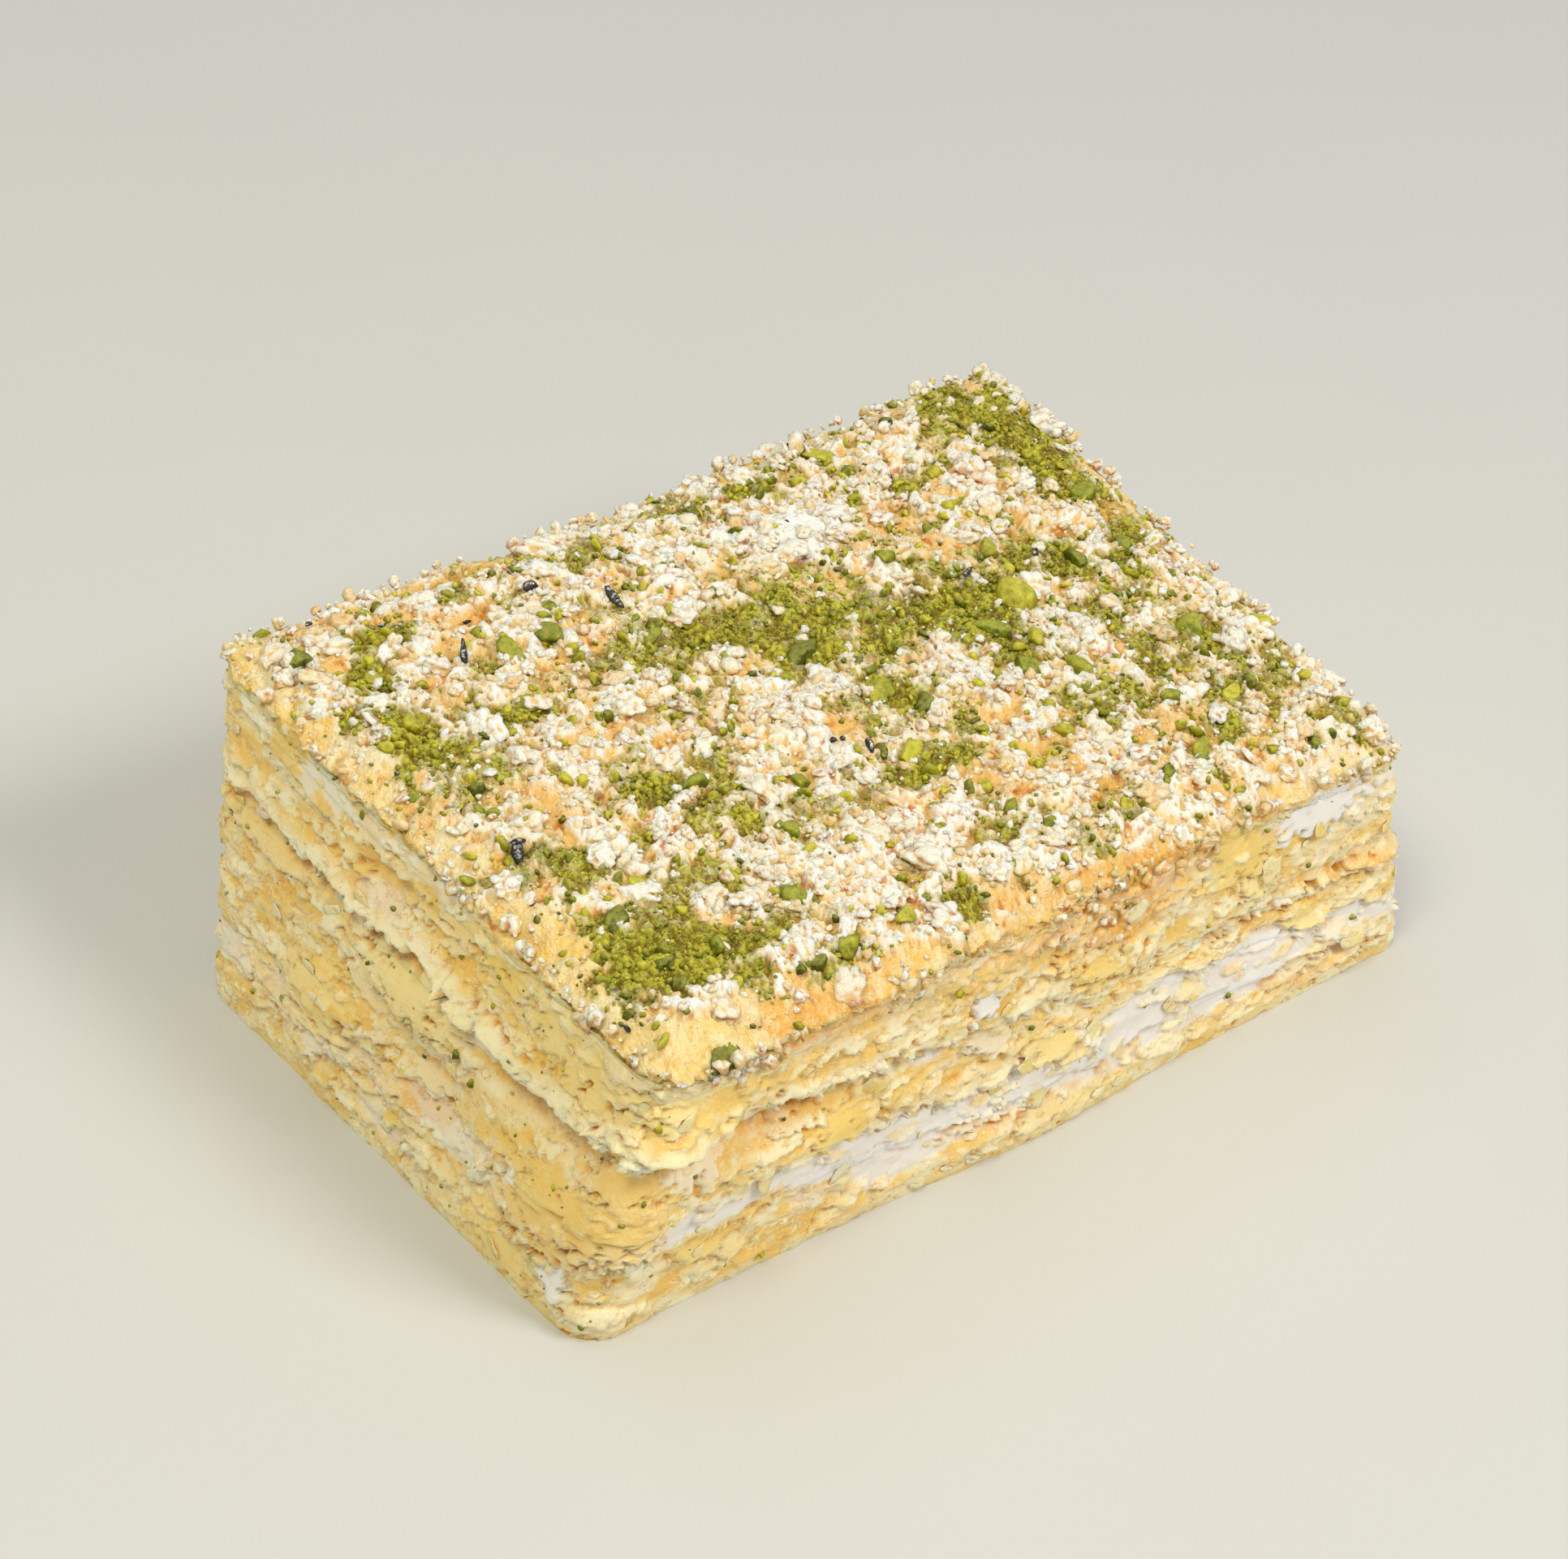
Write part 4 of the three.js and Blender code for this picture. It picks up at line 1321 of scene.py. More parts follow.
    def edge_masks(self, x: Array, y: Array, z: Array, along: Array, share: Array) -> Fields:
        """Masks where the crust meets the cut side: the side's where share is 1, else the top's.

        Args:
            x, y: Nominal plan points.
            z: Where the side is read.
            along: Their distances along the outline.
            share: Share of the side.

        Returns:
            The masks' values, by name.
        """
        side = self.skin.masks(x, y, z, along)
        masks = {}
        for name in {**self.fields, **side}:
            top = self.sample(name, x, y) if name in self.fields else 0.0
            masks[name] = lerp(top, side.get(name, 0.0), share)
        del masks["relief"], masks["sparse"]
        masks["bare"] = share
        return masks

    def bed(self) -> Piece:
        """The bed as one closed mesh: its top, its torn skirt and its hidden underside.

        Returns:
            The piece's object.
        """
        form = self.form
        x, y = self.rounded(*self.grid())
        build = Build()
        along = form.along_of(x, y)
        share = self.sample("bare", x, y)
        masks = self.edge_masks(x, y, form.crust(x, y) - form.room(x, y), along, share)
        top = build.add(self.surface(x, y), masks).reshape(x.shape)
        build.quads(top)
        border = np.concatenate([top[0, :-1], top[:-1, -1], top[-1, :0:-1], top[:0:-1, 0]])
        rim_x, rim_y = x.ravel()[border], y.ravel()[border]
        rim_z = self.surface(rim_x, rim_y)[:, 2]
        coat = form.level(Boundary.COAT_TOP, rim_x, rim_y)
        rise = np.linspace(0, 1, self.skirt_rows + 1)[:-1, None]
        z = lerp(coat[None, :], rim_z[None, :], rise)
        rim_along = form.along_of(rim_x, rim_y)
        _, _, out_x, out_y = form.outline(rim_along)
        x, y, along = (np.broadcast_to(line, z.shape) for line in (rim_x, rim_y, rim_along))
        places = self.skin.surface(x, y, (out_x, out_y), along, z)
        teeth = 0.5 * jagged(along / 1.6, z / 1.6, self.seed + 76)
        drop = 0.35 * noise(rim_along / 5, 0.0, self.seed + 79)
        share = 1 - ease(0.55, 0.95, rise + teeth + drop[None, :])
        masks = self.edge_masks(x, y, z, along, share)
        skirt = build.add(places, masks).reshape(z.shape)
        build.quads(np.concatenate([skirt, border[None, :]]), closed=True)
        layers = CutLayers(form, self.skin, self.materials)
        layers.close(build, skirt[0], (rim_x, rim_y), Boundary.COAT_TOP, True)
        rim = np.zeros(build.count, dtype=bool)
        rim[skirt[0]] = True
        return build.finished("crumb_bed", self.materials["bed"], rim)

    def build(self) -> list[Piece]:
        """Makes and dresses the bed."""
        return [dressed(self.bed(), "crumbs", "crumb_crust")]


def ball(frequency: int) -> Pair:
    """Points and triangles of a ball, each face of an icosahedron cut frequency times along.

    Args:
        frequency: Pieces along each edge.

    Returns:
        Unit points, and the corners of the triangles.
    """
    mesh = bmesh.new()
    bmesh.ops.create_icosphere(mesh, subdivisions=1, radius=1.0)
    if frequency > 1:
        bmesh.ops.subdivide_edges(mesh, edges=mesh.edges, cuts=frequency - 1, use_grid_fill=True)
    bmesh.ops.triangulate(mesh, faces=mesh.faces)
    points = np.array([v.co for v in mesh.verts])
    faces = np.array([[v.index for v in f.verts] for f in mesh.faces])
    mesh.free()
    return points / np.linalg.norm(points, axis=1, keepdims=True), faces


def directions(draw: Draw, count: int) -> Array:
    """Random unit directions."""
    found = draw.normal(size=(count, 3))
    return found / np.linalg.norm(found, axis=1, keepdims=True)


def lobed(points: Array, draw: Draw, lobes: int) -> Array:
    """Distance from the middle to the surface of a cluster of balls, along each direction.

    Args:
        points: Unit points.
        draw: Source of the random draws.
        lobes: How many balls.

    Returns:
        One value for each point.
    """
    full = 1.15 / lobes**0.4
    centres = directions(draw, lobes) * draw.uniform(0.75, 1.25, (lobes, 1)) * (1 - full)
    sizes = draw.uniform(0.6, 1.1, lobes) * full
    facing = points @ centres.T
    inside = sizes**2 - (centres**2).sum(axis=1) + facing**2
    exits = np.where(inside > 0, facing + np.sqrt(np.clip(inside, 0, None)), 0.0)
    return np.maximum(exits.max(axis=1), 0.9 * (1 - full))


def chipped(points: Array, draw: Draw, planes: int) -> Array:
    """Distance from the middle to the surface of a ball with flat cuts, along each direction.

    Args:
        points: Unit points.
        draw: Source of the random draws.
        planes: How many cuts.

    Returns:
        One value for each point.
    """
    facing = points @ directions(draw, planes).T
    height = draw.uniform(0.42, 0.9, planes)
    cut = np.where(facing > 0.05, height / np.maximum(facing, 0.05), 9.0)
    return np.minimum(cut.min(axis=1), 1.1)


def turned(yaw: Array, tip: Array, roll: Array) -> Array:
    """Rotation matrices that roll about X, tip about Y and then turn about Z.

    Args:
        yaw, tip, roll: Angles in radians.

    Returns:
        One matrix for each.
    """
    cz, sz, cy, sy, cx, sx = (f(a) for a in (yaw, tip, roll) for f in (np.cos, np.sin))
    rows = [
        [cz * cy, cz * sy * sx - sz * cx, cz * sy * cx + sz * sx],
        [sz * cy, sz * sy * sx + cz * cx, sz * sy * cx - cz * sx],
        [-sy, cy * sx, cy * cx],
    ]
    return np.moveaxis(np.array(rows), 2, 0)


def tipped(draw: Draw, yaw: Array, tip: float) -> Array:
    """Rotation matrices with the given turns about Z and a small random tip and roll."""
    return turned(yaw, *draw.normal(0, tip, (2, len(yaw))))


@dataclass(frozen=True)
class LumpShape:
    """How lumps of one kind are formed: fineness, number of forms, and lobes against flat cuts."""

    fineness: int
    forms: int
    lobes: int
    cuts: int
    cut_share: float
    wrinkle: float
    seed: int
    nearby: float = 0.9

    def templates(self) -> list[tuple[Array, ...]]:
        """The forms, each as points round the middle, triangles and how deep each point lies in a crease,
        for painted shade.

        Returns:
            One row for each form.
        """
        points, faces = ball(self.fineness)
        close = (points @ points.T > self.nearby).astype(float)
        close /= close.sum(axis=1, keepdims=True)
        made = []
        for index in range(self.forms):
            draw = np.random.default_rng(self.seed + index)
            radius = lerp(lobed(points, draw, self.lobes), chipped(points, draw, self.cuts), self.cut_share)
            radius = radius * (1 + self.wrinkle * draw.uniform(-1, 1, len(points)))
            made.append((points * radius[:, None], faces, ease(0.0, 0.16, close @ radius - radius)))
        return made


@dataclass
class Lumps:
    """Many small lumps of one kind: where each lies, its size, its turn and its masks."""

    places: Array
    sizes: Array
    turns: Array
    masks: Fields

    def joined(self, name: str, shape: LumpShape, material: Material) -> Piece:
        """All the lumps as one mesh.

        Args:
            name: The piece's name.
            shape: How the lumps are formed.
            material: Their finish.

        Returns:
            The piece's object.
        """
        build = Build()
        templates = shape.templates()
        own = np.arange(len(self.places)) % len(templates)
        for index, (points, faces, deep) in enumerate(templates):
            chosen = np.flatnonzero(own == index)
            if not len(chosen):
                continue
            scaled = points[None, :, :] * self.sizes[chosen][:, None, :]
            world = np.einsum("nij,nkj->nki", self.turns[chosen], scaled)
            low, high = world[..., 2].min(axis=1)[:, None], world[..., 2].max(axis=1)[:, None]
            # Painted shade: darker towards the bottom of each lump and in the creases between its lobes.
            low_side_shade = ease(0.85, 0.15, (world[..., 2] - low) / (high - low))
            masks = {key: np.repeat(value[chosen], len(points)) for key, value in self.masks.items()}
            masks["gap"] = np.clip(0.9 * low_side_shade + deep[None, :], 0, 1)
            first = build.count
            build.add(world + self.places[chosen][:, None, :], masks)
            shift = first + len(points) * np.arange(len(chosen))
            build.add_faces((faces[None, :, :] + shift[:, None, None]).reshape(-1, 3))
        return build.finished(name, material)


@dataclass(frozen=True)
class Sprinkle:
    """One kind of crumb or grain on the crust: how many, how large, and where it gathers."""

    name: str
    count: int
    smallest: float
    largest: float
    flatness: float
    tip: float
    lift: float
    spacing: float
    bare: float
    on_sugar: float
    on_nut: float
    on_gold: float
    shape: LumpShape
    seed: int


CRUMB_KINDS = (
    Sprinkle("crumb_clumps", 130, 1.0, 2.4, 0.55, 0.2, -0.05, 0.8, 0.9, 1.0, 0.06, 0.12,
             LumpShape(5, 14, 22, 6, 0.1, 0.07, 2100), 3100),
    Sprinkle("crumb_lumps", 860, 0.42, 1.05, 0.75, 0.6, 0.0, 0.55, 0.9, 0.8, 0.07, 0.2,
             LumpShape(3, 16, 9, 6, 0.15, 0.12, 2200, 0.8), 3200),
    Sprinkle("crumb_bits", 1350, 0.26, 0.6, 0.85, 0.9, 0.15, 0.0, 0.9, 0.6, 0.1, 0.5,
             LumpShape(2, 16, 6, 6, 0.2, 0.13, 2250, 0.7), 3250),
    Sprinkle("crumb_grains", 1600, 0.12, 0.28, 0.85, 1.5, 0.4, 0.0, 0.8, 0.6, 0.12, 0.8,
             LumpShape(1, 16, 4, 6, 0.6, 0.2, 2300, 0.4), 3300),
    Sprinkle("crumb_flakes", 60, 0.8, 1.7, 0.4, 0.4, 0.2, 0.5, 0.8, 0.6, 0.1, 1.0,
             LumpShape(2, 12, 6, 9, 0.5, 0.2, 2400, 0.7), 3400),
)
# Kinds of ground nut, each with how widely its green varies.
NUT_KINDS = (
    (Sprinkle("nut_grains", 3100, 0.18, 0.5, 0.8, 1.5, 0.2, 0.0, 0.1, 0.03, 1.0, 0.2,
              LumpShape(1, 16, 4, 6, 0.6, 0.2, 2500, 0.4), 3500), 0.3),
    (Sprinkle("nut_chips", 600, 0.38, 1.0, 0.6, 0.8, 0.0, 0.5, 0.45, 0.25, 1.0, 0.6,
              LumpShape(2, 20, 3, 8, 0.9, 0.14, 2550, 0.7), 3550), 0.32),
)
SPILL_SHAPE = LumpShape(2, 16, 6, 6, 0.3, 0.2, 2650, 0.7)


class Shade(Enum):
    """Colour of a nut piece, as its place between dark green and pale green."""

    DARK = 0.1
    GREEN = 0.35
    OLIVE = 0.55
    BRIGHT = 0.75
    PALE = 0.95


@dataclass(frozen=True)
class NutPiece:
    """A chopped nut piece: place, length, width and height, turn in degrees and colour."""

    x: float
    y: float
    size: tuple[float, float, float]
    turn: float
    shade: Shade


NUT_PIECES = each(
    NutPiece,
    (-50, 27, (3.4, 3, 2.2), 20, Shade.DARK), (-30, 18, (3.8, 2.4, 2), 80, Shade.OLIVE),
    (-24, 19, (5, 3, 2.2), 80, Shade.GREEN), (28, 1, (4.6, 3.6, 3), 60, Shade.BRIGHT),
    (0, 5, (5.4, 2.8, 2.2), 35, Shade.DARK), (-4.5, 3, (2.8, 2, 1.6), 70, Shade.OLIVE),
    (22, -1.5, (3.8, 2.6, 2), -50, Shade.GREEN), (25, -5, (3, 2, 1.8), 50, Shade.BRIGHT),
    (21, -8, (3.6, 2.6, 1.8), 80, Shade.GREEN), (6.5, -7, (3.6, 2.2, 2), 50, Shade.DARK),
    (3, -3.5, (3.8, 3.4, 1.8), 40, Shade.OLIVE), (-14.5, -10, (4, 1.9, 1.6), 15, Shade.GREEN),
    (-1, -12.2, (4.6, 3, 1.8), 25, Shade.PALE), (-3.5, -10.5, (2.6, 1, 1), 60, Shade.DARK),
    (44.5, -11, (3.2, 3.8, 2.4), 5, Shade.GREEN), (52.2, -13.5, (3, 4, 2.2), 60, Shade.PALE),
    (-27, -22, (3, 3, 2.2), 40, Shade.GREEN), (-46, -17, (3.2, 2.4, 2), 20, Shade.DARK),
    (-40, -13.5, (3.2, 1.8, 1.6), 8, Shade.BRIGHT), (-19, -29.5, (3, 1.8, 1.7), 10, Shade.BRIGHT),
    (-27.5, -30, (2.8, 2.4, 1.9), 60, Shade.OLIVE), (-31.5, -29.8, (2.6, 2.2, 1.6), -20, Shade.DARK),
    (-47.5, -33.2, (4.2, 2.2, 1.6), 35, Shade.DARK), (29.5, -26, (3, 1.8, 1.6), 20, Shade.OLIVE),
    (26.5, -11, (2.2, 5.2, 1.8), 0, Shade.OLIVE), (32.5, -19, (2.8, 2, 1.6), 30, Shade.OLIVE),
    (17, -17.5, (1.6, 2.4, 1.6), -20, Shade.BRIGHT), (3, -23, (2.8, 1.6, 1.5), 30, Shade.GREEN),
    (31.7, 15.5, (2.8, 1.8, 1.6), 15, Shade.BRIGHT), (31, 8.5, (2, 3, 1.6), -30, Shade.OLIVE),
    (18, 12, (2.6, 1.9, 1.5), 0, Shade.GREEN), (48.5, 11, (2.8, 2.4, 1.8), 30, Shade.GREEN),
    (39.5, 3, (2, 3.6, 2), -15, Shade.DARK), (47, 2.5, (2.4, 2.4, 1.8), 0, Shade.GREEN),
    (24, 29.5, (3, 2.8, 1.8), 0, Shade.BRIGHT), (-9.8, 16, (1.5, 2, 1.3), -25, Shade.BRIGHT),
    (-14.5, 13.6, (2.6, 1.4, 1.3), 10, Shade.GREEN), (-33.5, 12, (1.6, 2.6, 1.3), 0, Shade.GREEN),
    (-44.7, 22, (2.6, 2.2, 1.6), 30, Shade.OLIVE), (-46, 14, (2.2, 2.2, 1.4), 0, Shade.BRIGHT),
    (-21, -14.8, (2.2, 3, 1.5), -20, Shade.GREEN), (-26, -6, (2.8, 2, 1.5), -20, Shade.GREEN),
    (-15.5, -5, (2.2, 1.9, 1.3), 0, Shade.BRIGHT), (-46, -23.5, (2.4, 2, 1.6), 0, Shade.DARK),
    (54, 24, (2.6, 2.4, 1.6), 0, Shade.PALE), (53, -26.5, (1.8, 2.2, 1.4), 0, Shade.OLIVE),
    (40.5, -21, (2.8, 1.8, 1.5), 20, Shade.PALE),
)
# Dark husk slivers: place, length and width, turn in degrees.
HUSK_SLIVERS = (
    (-34.5, 19.8, 3.4, 1.1, 60), (-21.3, 25, 2, 1.4, 20), (-14, 19.8, 3.6, 1.2, 85),
    (-49, -5.6, 2.8, 1.4, 55), (-48, -4.6, 2.2, 1, 5), (-5.2, -10.3, 2.2, 0.9, 60), (-8.4, -8, 1, 0.8, 0),
    (-6.6, -7.8, 0.8, 0.7, 0),
    (-54, -27, 1, 0.9, 0), (-52, 9, 0.8, 0.6, 0), (-39, 27.5, 1, 0.8, 0), (-45, 31.5, 1.6, 0.7, 20),
    (-30.5, 24, 1.3, 0.6, 0), (23, 33, 1.2, 0.8, 0), (28.5, 22.3, 1.1, 0.8, 40), (25.5, 6, 3.4, 0.9, 30),
    (35.5, 5.5, 1.8, 0.8, 35),
)
# Large crumbs at the rim: place and radius.
EDGE_CRUMBS = (
    (52.6, -8, 2.6), (52.4, -31.4, 2), (53.2, 22, 2), (-52.2, -8, 2), (-30, -32.6, 2.2), (8, 32.4, 2),
)


@dataclass
class Topping:
    """Everything scattered over the crust's bed."""

    crust: CrumbCrust
    materials: Materials
    inset: float = 0.5
    tries: int = 8
    small_bias: float = 2.2
    nutty_share: float = 0.06
    golden_sugar: float = 0.45
    spill_count: int = 620
    spill_tries: int = 5
    spill_radii: tuple = (0.22, 0.95)
    open_edge: float = -50.0
    piece_scale: float = 1.2
    piece_tip: float = 0.22
    husk_tip: float = 0.25
    spill_drop: float = 4.2
    spill_seed: int = 3700
    piece_seed: int = 77
    husk_seed: int = 78
    husk_rise: float = 0.6

    def places(self, kind: Sprinkle, draw: Draw) -> tuple[Array, Array, Array]:
        """Plan points and radii for one kind, the largest first, gathered where the kind lies.

        Args:
            kind: The kind of crumb or grain.
            draw: Source of the random draws.

        Returns:
            X and Y of each lump, and its radius.
        """
        form = self.crust.form
        tries = kind.count * self.tries
        x = draw.uniform(-0.5, 0.5, tries) * (form.length - 2 * self.inset)
        y = draw.uniform(-0.5, 0.5, tries) * (form.width - 2 * self.inset)
        nut, sugar, gold = (self.crust.sample(name, x, y) for name in ("nut", "sugar", "sparse"))
        density = lerp(lerp(lerp(kind.bare, kind.on_sugar, sugar), kind.on_gold, gold), kind.on_nut, nut)
        density = density * (1 - 0.8 * self.crust.sample("bare", x, y))
        taken = np.flatnonzero(draw.uniform(size=tries) < density)[: kind.count * 2]
        radius = lerp(kind.smallest, kind.largest, draw.uniform(size=len(taken)) ** self.small_bias)
        order = np.argsort(-radius)
        x, y, radius = x[taken][order], y[taken][order], radius[order]
        if kind.spacing == 0:
            some = draw.permutation(len(x))[: kind.count]
            return x[some], y[some], radius[some]
        kept: list[int] = []
        for index in range(len(x)):
            others = np.array(kept, dtype=int)
            near = np.hypot(x[others] - x[index], y[others] - y[index])
            if not (near < kind.spacing * (radius[others] + radius[index])).any():
                kept.append(index)
            if len(kept) == kind.count:
                break
        return x[kept], y[kept], radius[kept]

    def crumb_masks(self, draw: Draw, count: int, golden: Array) -> Fields:
        """Masks of sugared crumbs, the golden ones barer than the rest.

        Args:
            draw: Source of the random draws.
            count: How many crumbs.
            golden: Which of them are golden.

        Returns:
            The masks' values, by name.
        """
        warm = np.where(golden, draw.uniform(0.3, 0.8, count), draw.uniform(0, 0.25, count))
        return {
            "tint": draw.uniform(size=count),
            "toast": warm,
            "sugar": np.where(golden, self.golden_sugar, 1.0) * draw.uniform(0.6, 1.0, count),
            "nut": np.where(draw.uniform(size=count) < self.nutty_share, 0.5, 0.0),
        }

    def crumbs(self, kind: Sprinkle) -> Piece:
        """All loose crumbs of one kind.

        Args:
            kind: The kind of crumb.

        Returns:
            The piece's object.
        """
        draw = np.random.default_rng(kind.seed)
        x, y, radius = self.places(kind, draw)
        if kind is CRUMB_KINDS[0]:
            edge_x, edge_y, edge_radius = np.array(EDGE_CRUMBS).T
            x, y, radius = np.append(edge_x, x), np.append(edge_y, y), np.append(edge_radius, radius)
        count = len(x)
        stretch = draw.uniform(0.8, 1.3, count)
        sizes = np.stack([radius * stretch, radius / stretch, radius * kind.flatness], axis=1)
        turns = tipped(draw, draw.uniform(0, 2 * math.pi, count), kind.tip)
        gold = self.crust.sample("toast", x, y)
        golden = draw.uniform(size=count) < (0.2 + 0.6 * gold) * ease(2.6, 0.7, radius)
        masks = self.crumb_masks(draw, count, golden)
        places = self.crust.surface(x, y, kind.lift * radius)
        lumps = Lumps(places, sizes, turns, masks)
        return lumps.joined(kind.name, kind.shape, self.materials["crumbs"])

    def spill(self) -> Piece:
        """Crumbs that cling to the top of the cut sides, in ragged drifts.

        Returns:
            The piece's object.
        """
        draw = np.random.default_rng(self.spill_seed)
        form, skin = self.crust.form, self.crust.skin
        tries = self.spill_tries * self.spill_count
        along = draw.uniform(0, form.girth, tries)
        share = draw.uniform(size=tries) ** 1.4
        drift = 0.5 + 0.8 * noise(along / 6, 0.0, self.spill_seed + 1)
        drift = drift + 0.5 * noise(along / 1.9, 0.0, self.spill_seed + 2)
        thick = form.outline(along)[0] > self.open_edge
        keep = np.flatnonzero(share < np.where(thick, drift, 0.4 * drift))[: self.spill_count]
        along, share = along[keep], share[keep]
        x, y, _, _ = form.outline(along)
        level = form.crust(x, y)
        browned = np.clip(skin.sample("toast", along, level - self.spill_drop), 0, 1)
        z = level + 0.2 - share * self.spill_drop * (1 + 1.2 * browned)
        count = len(z)
        radius = lerp(*self.spill_radii, draw.uniform(size=count) ** 2.4)
        places = skin.places(along, z, 0.25 * radius)
        sizes = radius[:, None] * draw.uniform(0.7, 1.3, (count, 3))
        turns = turned(*draw.uniform(0, 2 * math.pi, (3, count)))
        toast = np.clip(skin.sample("toast", along, z), 0, 1)
        golden = draw.uniform(size=count) < 0.15 + 0.75 * toast
        masks = self.crumb_masks(draw, count, golden)
        lumps = Lumps(places, sizes, turns, masks)
        return lumps.joined("crumb_spill", SPILL_SHAPE, self.materials["crumbs"])

    def nut_bits(self, kind: Sprinkle, spread: float) -> Piece:
        """Ground nuts or small chips of nut, which gather in the green patches.

        Args:
            kind: The kind of grain.
            spread: How widely their green varies.

        Returns:
            The piece's object.
        """
        draw = np.random.default_rng(kind.seed)
        x, y, radius = self.places(kind, draw)
        count = len(x)
        sizes = radius[:, None] * draw.uniform(0.7, 1.35, (count, 3))
        sizes[:, 2] *= kind.flatness
        turns = tipped(draw, draw.uniform(0, 2 * math.pi, count), kind.tip)
        shade = np.clip(draw.normal(0.62, spread, count), 0, 1)
        masks = {"shade": shade, "tint": draw.uniform(size=count)}
        places = self.crust.surface(x, y, kind.lift * radius)
        return Lumps(places, sizes, turns, masks).joined(kind.name, kind.shape, self.materials["nuts"])

    def nut_pieces(self) -> Piece:
        """The chopped nut pieces, each rounded with a few flat cuts.

        Returns:
            The piece's object.
        """
        draw = np.random.default_rng(self.piece_seed)
        x, y, turn = np.array([(p.x, p.y, p.turn) for p in NUT_PIECES], dtype=float).T
        sizes = np.array([p.size for p in NUT_PIECES]) / 2 * self.piece_scale
        count = len(x)
        turns = tipped(draw, np.radians(turn), self.piece_tip)
        masks = {
            "shade": np.array([p.shade.value for p in NUT_PIECES]) + draw.uniform(-0.06, 0.06, count),
            "tint": draw.uniform(size=count),
        }
        places = self.crust.surface(x, y)
        shape = LumpShape(5, count, 5, 9, 0.85, 0.05, 2600)
        return Lumps(places, sizes, turns, masks).joined("nut_pieces", shape, self.materials["nuts"])

    def husks(self) -> Piece:
        """Dark slivers of husk among the crumbs.

        Returns:
            The piece's object.
        """
        draw = np.random.default_rng(self.husk_seed)
        x, y, length, width, turn = np.array(HUSK_SLIVERS, dtype=float).T
        count = len(x)
        sizes = np.stack([length / 2, width / 2, 0.35 * width], axis=1)
        turns = tipped(draw, np.radians(turn), self.husk_tip)
        masks = {"tint": draw.uniform(size=count)}
        places = self.crust.surface(x, y, self.husk_rise)
        shape = LumpShape(3, count, 3, 7, 0.95, 0.06, 2700)
        return Lumps(places, sizes, turns, masks).joined("husk_slivers", shape, self.materials["husk"])

    def build(self) -> list[Piece]:
        """Makes and dresses all the crumbs and nuts.

        Returns:
            The pieces.
        """
        crumbs = [*map(self.crumbs, CRUMB_KINDS), self.spill()]
        nuts = [self.nut_bits(*row) for row in NUT_KINDS] + [self.nut_pieces(), self.husks()]
        return [dressed(p, "crumbs") for p in crumbs] + [dressed(p, "nuts") for p in nuts]


